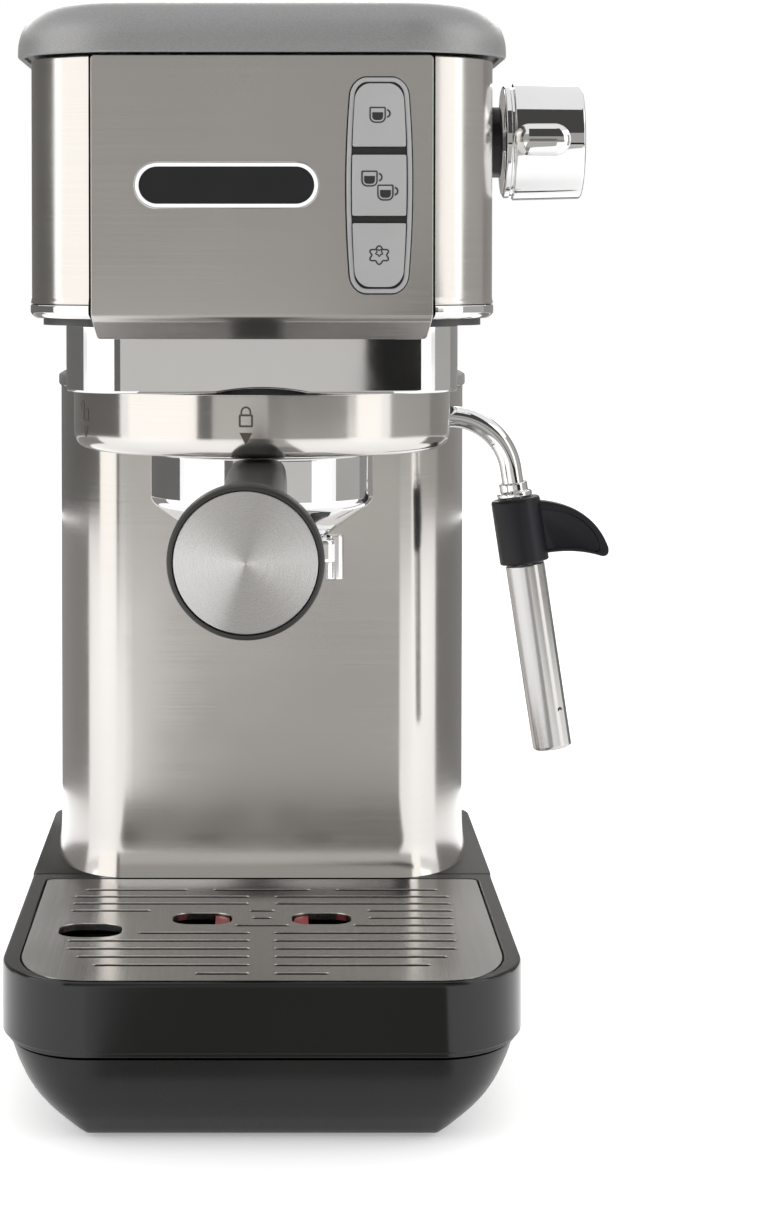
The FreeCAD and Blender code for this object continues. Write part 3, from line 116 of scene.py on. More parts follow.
@dataclass(frozen=True)
class Plan:
    """A plan outline with elliptical corners.

    Attributes:
        half: half its width in X.
        front: its front in Y.
        rear: its rear in Y.
        front_corner: the front corners' size in X and Y.
        rear_corner: the rear corners' size in X and Y.
        side_steps: segments in the front and in the rear edge.
        corner_steps: segments in each corner.
        rear_limit: greatest Y as a function of X, for a notched rear edge.
    """

    half: float
    front: float
    rear: float
    front_corner: tuple[float, float]
    rear_corner: tuple[float, float] = (1.0, 1.0)
    side_steps: int = 24
    corner_steps: int = 24
    rear_limit: Optional[Callable[[Array], Array]] = None

    def loops(self, insets: Array) -> Array:
        """The outline drawn in by each inset.

        A corner is the quarter ellipse centre + (rx cos a, ry sin a). An inset makes both radii smaller.

        Args:
            insets: distances inwards, shape (r,).

        Returns:
            Closed loops, anticlockwise from above from the front edge's right end, shape (r, n, 2).
        """
        d = np.asarray(insets, float)[:, None]
        turns = np.linspace(0, math.pi / 2, self.corner_steps + 1)[None, :]
        fx, fy = (np.maximum(c - d, 0.02) for c in self.front_corner)
        rx, ry = (np.maximum(c - d, 0.02) for c in self.rear_corner)
        h, f, r = self.half - d, self.front + d, self.rear - d

        def arc(cx: Array, cy: Array, a: Array, b: Array, start: float) -> Array:
            return np.stack([cx + a * np.cos(start + turns), cy + b * np.sin(start + turns)], -1)

        along = np.linspace(-1, 1, self.side_steps + 1)[None, 1:-1]
        rear_x = -(h - rx) * along
        front_x = (h - fx) * along
        parts = [
            arc(h - fx, f + fy, fx, fy, -math.pi / 2),
            arc(h - rx, r - ry, rx, ry, 0.0),
            np.stack([rear_x, np.broadcast_to(r, rear_x.shape)], -1),
            arc(rx - h, r - ry, rx, ry, math.pi / 2),
            arc(fx - h, f + fy, fx, fy, math.pi),
            np.stack([front_x, np.broadcast_to(f, front_x.shape)], -1),
        ]
        loops = np.concatenate(parts, axis=1)
        if self.rear_limit:
            loops[..., 1] = np.minimum(loops[..., 1], self.rear_limit(loops[..., 0]) - d)
        return loops

    def loft(self, profile: Array) -> Array:
        """Carry an (inset, height) profile round the outline, shape (rows, n, 3)."""
        profile = np.asarray(profile, float)
        loops = self.loops(profile[:, 0])
        heights = np.broadcast_to(profile[:, 1, None, None], loops.shape[:2] + (1,))
        return np.concatenate([loops, heights], -1)

    def u_path(self, section: Array, x_from: float = -math.inf, x_to: float = math.inf) -> Array:
        """Carry a closed (inset, height) section from rear left round the front to rear right.

        Args:
            section: closed section, shape (rows, 2).
            x_from: leave out what lies left of this X.
            x_to: leave out what lies right of this X.

        Returns:
            Grid with the path as its columns, shape (rows, n, 3).
        """
        grid = self.loft(section)
        c = self.corner_steps + 1
        s = self.side_steps - 1
        order = np.concatenate([np.arange(3 * c + s, 4 * c + 2 * s), np.arange(0, c)])
        left = grid[:, 3 * c + s - 1 : 3 * c + s] * [1, 0, 1] + [0, self.rear, 0]
        right = grid[:, c : c + 1] * [1, 0, 1] + [0, self.rear, 0]
        path = np.concatenate([left, grid[:, order], right], axis=1)
        kept = (path[0, :, 0] >= x_from) & (path[0, :, 0] <= x_to)
        return path[:, kept]


def revolve(profile: Array, steps: int = 96) -> Array:
    """Turn a (radius, height) profile about Z: (r cos a, r sin a, h), shape (rows, steps, 3)."""
    p = np.asarray(profile, float)
    a = np.linspace(0, 2 * math.pi, steps, endpoint=False)[None, :]
    r = p[:, :1]
    return np.stack([r * np.cos(a), r * np.sin(a), np.broadcast_to(p[:, 1:], (len(p), steps))], -1)


def rounded_box_loop(
    x: Sequence[float], y: Sequence[float], radius: float, steps: int = 8, far: Optional[float] = None
) -> Array:
    """Closed rectangle with round corners, where far is the radius of those at its greater Y if given."""
    middle = ((x[0] + x[1]) / 2, (y[0] + y[1]) / 2)
    high = radius if far is None else far
    front, rear = y[0] - middle[1], y[1] - middle[1]
    plan = Plan((x[1] - x[0]) / 2, front, rear, (radius, radius), (high, high), 6, steps)
    return plan.loops(np.zeros(1))[0] + middle


def centred_box_loop(centre: Sequence[float], size: Sequence[float], radius: float, steps: int) -> Array:
    """Closed rectangle of a given size with round corners, about its centre."""
    x, y = ((c - s / 2, c + s / 2) for c, s in zip(centre, size))
    return rounded_box_loop(x, y, radius, steps)


def refined(loop: Array, longest: float) -> Array:
    """Split the sides of a closed loop so that none is longer than stated."""
    after = np.roll(loop, -1, 0)
    parts = np.maximum(np.ceil(np.linalg.norm(after - loop, axis=1) / longest).astype(int), 1)
    which = np.repeat(np.arange(len(loop)), parts)
    within = np.arange(len(which)) - np.repeat(np.cumsum(parts) - parts, parts)
    t = (within / parts[which])[:, None]
    return loop[which] * (1 - t) + after[which] * t


def stroke(loop: Array, width: float) -> tuple[Array, list[Array]]:
    """A closed line of a given width: its outer outline and its inner one as a hole."""
    side = loop_normals(loop) * (width / 2)
    return loop + side, [loop - side]


def loop_normals(loop: Array) -> Array:
    """Outward unit normals of an anticlockwise closed loop, from the chord between neighbours."""
    chord = np.roll(loop, -1, 0) - np.roll(loop, 1, 0)
    normal = np.stack([chord[:, 1], -chord[:, 0]], -1)
    return normal / np.maximum(np.linalg.norm(normal, axis=1, keepdims=True), 1e-9)


def rim(loop: Array, profile: Array) -> Array:
    """Carry an (offset, height) profile round a closed loop, offset outwards, shape (rows, n, 3)."""
    profile = np.asarray(profile, float)
    flat = loop[None] + loop_normals(loop)[None] * profile[:, :1, None]
    heights = np.broadcast_to(profile[:, 1, None, None], flat.shape[:2] + (1,))
    return np.concatenate([flat, heights], -1)


def sweep(path: Array, radii: Array, steps: int, across: Sequence[float]) -> Array:
    """Round tube along a path that lies in a plane.

    Each row is path + radius (cos a * side + sin a * across), side being the tangent turned in the plane.

    Args:
        path: points of the centre line, shape (rows, 3).
        radii: tube radius at each point, shape (rows,).
        steps: points round the tube.
        across: unit normal of the path's plane.

    Returns:
        Grid of shape (rows, steps, 3).
    """
    tangent = np.gradient(path, axis=0)
    tangent /= np.linalg.norm(tangent, axis=1, keepdims=True)
    normal = np.asarray(across, float)
    side = np.cross(tangent, normal)
    a = np.linspace(0, 2 * math.pi, steps, endpoint=False)[None, :, None]
    r = np.asarray(radii, float)[:, None, None]
    return path[:, None] + r * (np.cos(a) * side[:, None] + np.sin(a) * normal)


def facing_front(points: Array, y: float = 0.0) -> Array:
    """Stand a shape drawn in X and Y up: its Y becomes Z and its height comes out towards -Y from y."""
    return np.stack([points[..., 0], y - points[..., 2], points[..., 1]], -1)


def level(z: float) -> Callable[[Array], Array]:
    """Places flat points in X and Y at a height."""
    return lambda p: np.c_[p, np.full(len(p), z)]


def upright(y: float) -> Callable[[Array], Array]:
    """Places flat points in X and Z at a Y."""
    return lambda p: np.c_[p[:, 0], np.full(len(p), y), p[:, 1]]


def inside(points: Array, loop: Array) -> Array:
    """Which points lie inside a closed loop, by counting edges crossed to the right."""
    a, b = loop[None], np.roll(loop, -1, 0)[None]
    x, y = points[:, :1], points[:, 1:2]
    spans = (a[..., 1] > y) != (b[..., 1] > y)
    rise = np.where(spans, b[..., 1] - a[..., 1], 1.0)
    cross = a[..., 0] + (y - a[..., 1]) / rise * (b[..., 0] - a[..., 0])
    return (spans & (x < cross)).sum(1) % 2 == 1


class Skin:
    """Surfaces gathered for one piece, in millimetres."""

    def __init__(self) -> None:
        self.points: list[Array] = []
        self.faces: list[Array] = []
        self.uvs: list[Array] = []
        self.count = 0

    def _add(self, points: Array, faces: Array, uvs: Array) -> None:
        """Keep points, faces of one size and each face corner's UV."""
        self.points.append(points)
        self.faces.append(faces + self.count)
        self.uvs.append(uvs)
        self.count += len(points)

    def grid(self, points: Array, around: bool = True, closed_rows: bool = False) -> "Skin":
        """Add a two-parameter surface.

        U runs along the columns and V along the rows, both as arc length in metres, so that a grain follows
        the surface.

        Args:
            points: shape (rows, columns, 3).
            around: the last column joins the first.
            closed_rows: the last row joins the first.

        Returns:
            The skin itself.
        """
        p = np.asarray(points, float)
        if around:
            p = np.concatenate([p, p[:, :1]], 1)
        if closed_rows:
            p = np.concatenate([p, p[:1]], 0)
        rows, columns = p.shape[:2]
        step_u = np.linalg.norm(np.diff(p, axis=1), axis=2).max(0)
        step_v = np.linalg.norm(np.diff(p, axis=0), axis=2).max(1)
        u = np.concatenate([[0], np.cumsum(step_u)]) * MM
        v = np.concatenate([[0], np.cumsum(step_v)]) * MM
        uv = np.stack(np.broadcast_arrays(u[None, :], v[:, None]), -1).reshape(-1, 2)
        index = np.arange(rows * columns).reshape(rows, columns)
        corners = [index[:-1, :-1], index[:-1, 1:], index[1:, 1:], index[1:, :-1]]
        quads = np.stack(corners, -1).reshape(-1, 4)
        self._add(p.reshape(-1, 3), quads, uv[quads])
        return self

    def cap(self, loop: Array) -> "Skin":
        """Close a flat loop with one face."""
        loop = np.asarray(loop, float)
        self._add(loop, np.arange(len(loop))[None], (loop[:, :2] * MM)[None])
        return self

    def ring(self, grid: Array) -> "Skin":
        """Add a surface closed round its columns and over its rows."""
        return self.grid(grid, closed_rows=True)

    def capped(self, grid: Array) -> "Skin":
        """Add a surface closed round its columns, with both its end loops capped."""
        return self.grid(grid).cap(grid[0]).cap(grid[-1])

    def tube(self, path_grid: Array) -> "Skin":
        """Add a closed section carried along an open path, with both ends capped."""
        closed = np.swapaxes(path_grid, 0, 1)
        return self.grid(closed).cap(closed[0]).cap(closed[-1])

    def fill(
        self,
        outer: Array,
        holes: Sequence[Array],
        place: Callable[[Array], Array],
        lines: Sequence[Array] = (),
    ) -> "Skin":
        """Fill a flat region with triangles, leaving its holes open.

        Args:
            outer: closed outline, shape (n, 2).
            holes: closed outlines left open.
            place: turns flat points of shape (n, 2) into points of shape (n, 3).
            lines: open polylines that triangles must follow.

        Returns:
            The skin itself.
        """
        loops = [outer, *holes]
        points: list[Array] = []
        edges: list[Array] = []
        start = 0
        for k, loop in enumerate([*loops, *lines]):
            n = len(loop)
            index = np.arange(n) + start
            pairs = np.stack([index, np.roll(index, -1)], -1)
            edges.append(pairs if k < len(loops) else pairs[:-1])
            points.append(loop)
            start += n
        flat = [Vector(p) for p in np.vstack(points)]
        made, _, tris, *_ = delaunay_2d_cdt(flat, np.vstack(edges).tolist(), [], 1, 1e-5)
        flat_made = np.array([tuple(p) for p in made])
        triangles = np.array([list(t) for t in tris])
        centres = flat_made[triangles].mean(1)
        keep = inside(centres, outer)
        for hole in holes:
            keep &= ~inside(centres, hole)
        triangles = triangles[keep]
        self._add(place(flat_made), triangles, flat_made[triangles] * MM)
        return self

    def piece(
        self,
        name: str,
        body: str,
        finish: "Finish",
        replaces: Sequence[str] = (),
        slot: Optional[str] = None,
        smooth: float = SMOOTH_ANGLE,
    ) -> bpy.types.Object:
        """Make the mesh object, dress it and put it on its body.

        Args:
            name: the piece's name.
            body: the body that it rides on.
            finish: its material.
            replaces: CAD nodes that it stands for.
            slot: the record's material slot, that of the first replaced node if left out; worked out but
                not used.
            smooth: edges that turn by more than this stay sharp.

        Returns:
            The new object.
        """
        mesh = bpy.data.meshes.new(name)
        points = np.vstack(self.points) * MM
        loops = np.concatenate([f.reshape(-1) for f in self.faces])
        totals = np.concatenate([np.full(len(f), f.shape[1]) for f in self.faces])
        mesh.vertices.add(len(points))
        mesh.vertices.foreach_set("co", points.ravel())
        mesh.loops.add(len(loops))
        mesh.loops.foreach_set("vertex_index", loops)
        mesh.polygons.add(len(totals))
        mesh.polygons.foreach_set("loop_start", np.concatenate([[0], np.cumsum(totals)[:-1]]))
        mesh.polygons.foreach_set("loop_total", totals)
        layer = mesh.uv_layers.new(name="grain")
        layer.data.foreach_set("uv", np.concatenate([uv.reshape(-1, 2) for uv in self.uvs]).ravel())
        mesh.update(calc_edges=True)
        tidy(mesh)
        obj = bpy.data.objects.new(name, mesh)
        bpy.context.scene.collection.objects.link(obj)
        dress(obj, finish, smooth)
        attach(obj, body)
        if replaces:
            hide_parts(*replaces)
            slot = slot or SLOT_OF[replaces[0]]
        log.info("%s: %d faces on %s", name, len(mesh.polygons), body)
        return obj


def tidy(mesh: bpy.types.Mesh) -> None:
    """Merge doubles, drop what has no area and turn all faces outwards."""
    work = bmesh.new()
    work.from_mesh(mesh)
    bmesh.ops.remove_doubles(work, verts=work.verts, dist=MERGE_DISTANCE)
    bmesh.ops.dissolve_degenerate(work, edges=work.edges, dist=MERGE_DISTANCE)
    bmesh.ops.recalc_face_normals(work, faces=work.faces)
    work.to_mesh(mesh)
    work.free()


def dress(obj: bpy.types.Object, finish: "Finish", smooth: float = SMOOTH_ANGLE) -> None:
    """Give a mesh its material and its smooth shading."""
    obj.data.materials.clear()
    obj.data.materials.append(finish.material())
    obj.data.polygons.foreach_set("use_smooth", np.ones(len(obj.data.polygons), bool))
    obj.data.set_sharp_from_angle(angle=smooth)


def softened(node: str, body: str, finish: "Finish", width: float) -> bpy.types.Object:
    """A merged copy of a CAD node with its sharp edges rounded.

    Args:
        node: the CAD node.
        body: the body that it rides on.
        finish: its material.
        width: the rounding's width.

    Returns:
        The new object.
    """
    mesh = frame["nodes"][node].data.copy()
    mesh.name = f"{node}_finished"
    work = bmesh.new()
    work.from_mesh(mesh)
    bmesh.ops.remove_doubles(work, verts=work.verts, dist=MERGE_DISTANCE)
    work.to_mesh(mesh)
    work.free()
    obj = bpy.data.objects.new(mesh.name, mesh)
    bpy.context.scene.collection.objects.link(obj)
    dress(obj, finish)
    if width:
        bevel = obj.modifiers.new("edges", "BEVEL")
        bevel.width = width * MM
        bevel.segments = 2
        bevel.limit_method = "ANGLE"
        bevel.angle_limit = BEVEL_ANGLE
        bevel.harden_normals = True
    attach(obj, body)
    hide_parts(node)
    log.info("%s: %d faces on %s", obj.name, len(mesh.polygons), body)
    return obj


SLOT_OF: dict[str, str] = {s["node"]: s["material_slot"] for s in frame["record"]["subparts"]}


# --- finishes -------------------------------------------------------------------------------------


class Grain(Enum):
    """Which way the fine lines of a finish run."""

    LEVEL = (12.0, 12.0, 5200.0)
    FORE_AND_AFT = (4200.0, 10.0, 4200.0)


class Net:
    """A material's node net, with short calls for the nodes used here."""

    def __init__(self, name: str) -> None:
        self.material = bpy.data.materials.new(name)
        self.material.use_nodes = True
        self.nodes = self.material.node_tree.nodes
        self.links = self.material.node_tree.links
        self.nodes.clear()
        self.shader = self.nodes.new("ShaderNodeBsdfPrincipled")
        out = self.nodes.new("ShaderNodeOutputMaterial")
        self.links.new(self.shader.outputs[0], out.inputs[0])

    def set(self, **values: float | tuple) -> "Net":
        """Set the shader's own sockets by name, with underscores for spaces."""
        for key, value in values.items():
            self.shader.inputs[key.replace("_", " ")].default_value = value
        return self

    def coords(self, scale: Sequence[float], source: str = "Object") -> Socket:
        """Object or UV coordinates, scaled in turns per metre."""
        texture = self.nodes.new("ShaderNodeTexCoord")
        mapping = self.nodes.new("ShaderNodeMapping")
        mapping.inputs["Scale"].default_value = tuple(scale)
        self.links.new(texture.outputs[source], mapping.inputs["Vector"])
        return mapping.outputs["Vector"]

    def noise(self, where: Socket, scale: float = 1.0, detail: float = 3.0) -> Socket:
        """Smooth noise between 0 and 1."""
        node = self.nodes.new("ShaderNodeTexNoise")
        node.inputs["Scale"].default_value = scale
        node.inputs["Detail"].default_value = detail
        self.links.new(where, node.inputs["Vector"])
        return node.outputs["Fac"]

    def cells(self, where: Socket, scale: float = 1.0) -> Socket:
        """Random grey per small cell."""
        node = self.nodes.new("ShaderNodeTexVoronoi")
        node.inputs["Scale"].default_value = scale
        self.links.new(where, node.inputs["Vector"])
        return node.outputs["Color"]

    def spread(self, value: Socket, low: float, high: float) -> Socket:
        """Map the middle of a noise onto low to high."""
        node = self.nodes.new("ShaderNodeMapRange")
        node.inputs["From Min"].default_value = 0.3
        node.inputs["From Max"].default_value = 0.7
        node.inputs["To Min"].default_value = low
        node.inputs["To Max"].default_value = high
        self.links.new(value, node.inputs["Value"])
        return node.outputs["Result"]

    def tint(self, value: Socket, dark: Sequence[float], light: Sequence[float]) -> Socket:
        """Mix two colours by a noise."""
        ramp = self.nodes.new("ShaderNodeValToRGB")
        ramp.color_ramp.elements[0].position = 0.3
        ramp.color_ramp.elements[1].position = 0.7
        ramp.color_ramp.elements[0].color = (*dark, 1.0)
        ramp.color_ramp.elements[1].color = (*light, 1.0)
        self.links.new(value, ramp.inputs["Fac"])
        return ramp.outputs["Color"]

    def bump(self, height: Socket, depth: float, strength: float = 1.0) -> None:
        """Press a height pattern into the surface, depth in millimetres."""
        node = self.nodes.new("ShaderNodeBump")
        node.inputs["Distance"].default_value = depth * MM
        node.inputs["Strength"].default_value = strength
        self.links.new(height, node.inputs["Height"])
        self.links.new(node.outputs["Normal"], self.shader.inputs["Normal"])

    def to(self, value: Socket, socket: str) -> "Net":
        """Lead a value to one of the shader's sockets."""
        self.links.new(value, self.shader.inputs[socket])
        return self

    def tangent(self) -> None:
        """Run the shader's highlights along the piece's own U direction."""
        node = self.nodes.new("ShaderNodeTangent")
        node.direction_type = "UV_MAP"
        node.uv_map = "grain"
        self.links.new(node.outputs[0], self.shader.inputs["Tangent"])


@dataclass(frozen=True)
class Finish:
    """Base of all finishes: a name and the record's slot that it belongs to."""

    name: str
    slot: str

    def material(self) -> bpy.types.Material:
        """The finish's material, made once."""
        made = bpy.data.materials.get(self.name)
        return made or self.weave(Net(self.name))

    def weave(self, net: Net) -> bpy.types.Material:
        """Build the node net."""
        return net.material


def grey(value: float, warmth: float = 0.0) -> Colour:
    """A grey, with red raised and blue lowered by its warmth."""
    return (value * (1 + warmth), value, value * (1 - warmth))


@dataclass(frozen=True)
class BrushedSteel(Finish):
    """Steel with fine lines that stretch its highlights across them."""

    tone: float = 0.62
    warmth: float = 0.015
    roughness: float = 0.2
    grain: Grain = Grain.LEVEL
    turned: bool = False
    stretch: float = 0.45
    line_depth: float = 0.001
    contrast: float = 0.02

    def weave(self, net: Net) -> bpy.types.Material:
        """Long thin noise streaks drive tone, roughness and bump, and broad smudges vary the roughness."""
        where = net.coords((7.0, 6500.0, 1.0), "UV") if self.turned else net.coords(self.grain.value)
        streaks = net.noise(where, 1.0, 2.0)
        smudges = net.noise(net.coords((28.0, 28.0, 28.0)), 1.0, 4.0)
        low, high = self.tone * (1 - self.contrast), self.tone * (1 + self.contrast)
        net.to(net.tint(streaks, grey(low, self.warmth), grey(high, self.warmth)), "Base Color")
        product = net.nodes.new("ShaderNodeMath")
        product.operation = "MULTIPLY"
        net.links.new(net.spread(streaks, 0.86, 1.14), product.inputs[0])
        net.links.new(net.spread(smudges, self.roughness * 0.85, self.roughness * 1.2), product.inputs[1])
        net.to(product.outputs[0], "Roughness")
        net.set(Metallic=1.0, Anisotropic=self.stretch, Anisotropic_Rotation=0.25)
        if self.stretch:
            net.tangent()
        net.bump(streaks, self.line_depth)
        return net.material


@dataclass(frozen=True)
class Chrome(Finish):
    """Mirror plating with faint hand marks."""

    tone: float = 0.78
    roughness: float = 0.035

    def weave(self, net: Net) -> bpy.types.Material:
        """Cloudy noise lifts the roughness a little where fingers have been."""
        marks = net.noise(net.coords((45.0, 45.0, 45.0)), 1.0, 5.0)
        net.to(net.spread(marks, self.roughness * 0.6, self.roughness * 1.9), "Roughness")
        net.to(net.tint(marks, grey(self.tone * 0.97), grey(self.tone * 1.02)), "Base Color")
        net.set(Metallic=1.0)
        net.bump(net.noise(net.coords((160.0, 160.0, 160.0)), 1.0, 1.0), 0.002, 0.4)
        return net.material


@dataclass(frozen=True)
class Moulded(Finish):
    """Moulded plastic or rubber with a fine spark-eroded grain."""

    dark: Colour = (0.012, 0.012, 0.013)
    light: Colour = (0.02, 0.02, 0.021)
    roughness: float = 0.36
    grain_size: float = 0.45
    grain_depth: float = 0.012
    shine: float = 0.5

    def weave(self, net: Net) -> bpy.types.Material:
        """A pebbled noise makes the grain, and a broad one the wiped patches."""
        per_metre = 1.0 / (self.grain_size * MM)
        pebbles = net.noise(net.coords((per_metre,) * 3), 1.0, 2.0)
        wiped = net.noise(net.coords((22.0, 22.0, 22.0)), 1.0, 4.0)
        net.to(net.tint(wiped, self.dark, self.light), "Base Color")
        net.to(net.spread(wiped, self.roughness * 0.85, self.roughness * 1.15), "Roughness")
        net.bump(pebbles, self.grain_depth, 0.6)
        net.set(Specular_IOR_Level=self.shine)
        return net.material


@dataclass(frozen=True)
class SilverPaint(Finish):
    """Silver lacquer with metal flakes under a clear coat."""

    tone: float = 0.26

    def weave(self, net: Net) -> bpy.types.Material:
        """Tiny cells of random grey are the flakes, and a soft noise is the orange peel."""
        flakes = net.cells(net.coords((5200.0,) * 3))
        net.to(net.tint(flakes, grey(self.tone * 0.9), grey(self.tone * 1.08)), "Base Color")
        net.set(Metallic=0.45, Roughness=0.42, Coat_Weight=0.05, Coat_Roughness=0.2)
        net.bump(net.noise(net.coords((420.0,) * 3), 1.0, 2.0), 0.006, 0.5)
        return net.material


@dataclass(frozen=True)
class SmokedPlastic(Finish):
    """Dark see-through plastic."""

    tone: Colour = (0.16, 0.17, 0.18)

    def weave(self, net: Net) -> bpy.types.Material:
        """Clear shader with flow marks in its gloss."""
        flow = net.noise(net.coords((30.0, 30.0, 9.0)), 1.0, 3.0)
        net.to(net.spread(flow, 0.07, 0.14), "Roughness")
        dark, light = (tuple(c * share for c in self.tone) for share in (0.9, 1.1))
        net.to(net.tint(flow, dark, light), "Base Color")
        net.set(Transmission_Weight=0.85, IOR=1.49)
        net.bump(flow, 0.02, 0.3)
        return net.material


@dataclass(frozen=True)
class Board(Finish):
    """Green circuit board with fine tracks."""

    def weave(self, net: Net) -> bpy.types.Material:
        """Cells pick out tracks in a lighter green."""
        tracks = net.cells(net.coords((600.0, 600.0, 250.0)))
        net.to(net.tint(tracks, (0.01, 0.09, 0.03), (0.02, 0.16, 0.06)), "Base Color")
        net.set(Roughness=0.4)
        net.bump(tracks, 0.03, 0.5)
        return net.material


WARM = 0.035
COLUMN_STEEL = BrushedSteel("column_steel", "steel", tone=0.6, warmth=WARM, roughness=0.15, stretch=0.3)
PANEL_STEEL = BrushedSteel("panel_steel", "steel", tone=0.6, warmth=WARM, roughness=0.17, stretch=0.3)
COLLAR_STEEL = BrushedSteel("collar_steel", "steel", warmth=WARM, roughness=0.14, turned=True, stretch=0.6)
CAP_STEEL = BrushedSteel("cap_steel", "steel", roughness=0.26, turned=True, stretch=0.93, contrast=0.05)
GRATE_STEEL = BrushedSteel(
    "grate_steel", "steel", tone=0.6, grain=Grain.FORE_AND_AFT, stretch=0.0, contrast=0.04
)
SLEEVE_STEEL = BrushedSteel("sleeve_steel", "steel", tone=0.55, roughness=0.16, turned=True, stretch=0.5)
PLAIN_STEEL = BrushedSteel("plain_steel", "steel", tone=0.55, roughness=0.3, stretch=0.0)
CHROME = Chrome("chrome_plating", "chrome")
SATIN_CHROME = Chrome("satin_chrome", "chrome", tone=0.7, roughness=0.1)
CAST = Moulded("cast_metal", "cast", grey(0.3), grey(0.38), 0.5, 0.9, 0.05)
BLACK = Moulded("black_shell", "black_plastic", grey(0.007), grey(0.01), 0.28, 0.45, 0.005, 0.35)
BLACK_DECK = Moulded("black_deck", "black_plastic", grey(0.01), grey(0.014), 0.14, 0.45, 0.003, 1.0)
BLACK_TRAY = Moulded("black_tray", "black_plastic", grey(0.003), grey(0.005), 0.16, 0.45, 0.003, 0.5)
DARK_GRIP = Moulded(
    "dark_grip", "black_plastic", (0.016, 0.016, 0.014), (0.024, 0.024, 0.021), 0.34, 0.35, 0.006
)
SOFT_GRIP = Moulded(
    "soft_grip", "grip_rubber", (0.005, 0.005, 0.008), (0.008, 0.008, 0.012), 0.34, 0.3, 0.006, 0.3
)
GREY = Moulded("grey_moulding", "grey_plastic", grey(0.04), grey(0.05), 0.4, 0.5, 0.008)
BUTTON = Moulded("button_grey", "button_plastic", grey(0.3), grey(0.34), 0.3, 0.4, 0.003)
BEZEL = Moulded("bezel_grey", "grey_plastic", grey(0.3), grey(0.34), 0.22, 0.4, 0.003)
# Painted reflection: a flat white that stands for the white band reflected in the badge's chrome rim.
CHROME_GLINT_WHITE = Moulded("painted_chrome_glint", "chrome", grey(0.85), grey(0.9), 0.25, 0.6, 0.002)
MARK = Moulded("mark_ink", "black_plastic", (0.05, 0.038, 0.03), (0.07, 0.055, 0.045), 0.5, 0.2, 0.002)
# Black for the printed pictures, and also painted shade: the bezel floor between the buttons and the disc
# for the sleeve's air hole.
INK_AND_PAINTED_SHADE = Moulded("print_and_painted_shade", "black_plastic", grey(0.01), grey(0.016), 0.5, 0.2, 0.002)
GLOSS_BLACK = Moulded(
    "gloss_black", "black_gloss", (0.006, 0.006, 0.007), (0.009, 0.009, 0.01), 0.1, 2.0, 0.001
)
RED = Moulded("red_float", "red_plastic", (0.2, 0.006, 0.01), (0.26, 0.01, 0.014), 0.3, 0.6, 0.006)
RUBBER = Moulded("black_rubber", "seal_rubber", grey(0.014), grey(0.024), 0.6, 0.4, 0.02)
SILICONE = Moulded("silicone_hose", "hose", grey(0.6), grey(0.7), 0.35, 1.2, 0.01)
PAINT = SilverPaint("silver_lacquer", "silver_paint")
SMOKED = SmokedPlastic("smoked_plastic", "tank_plastic")
BOARD = Board("circuit_board", "board")


# --- base -----------------------------------------------------------------------------------------


def column_front(x: Array) -> Array:
    """Where the column's front lies in Y at each X: flat, then the quarter ellipse of its corners."""
    half, front, (cx, cy) = 70.0, 6.0, (25.0, 54.0)
    over = np.clip((np.abs(x) - (half - cx)) / cx, 0, 1)
    return front + cy * (1 - np.sqrt(1 - over**2))


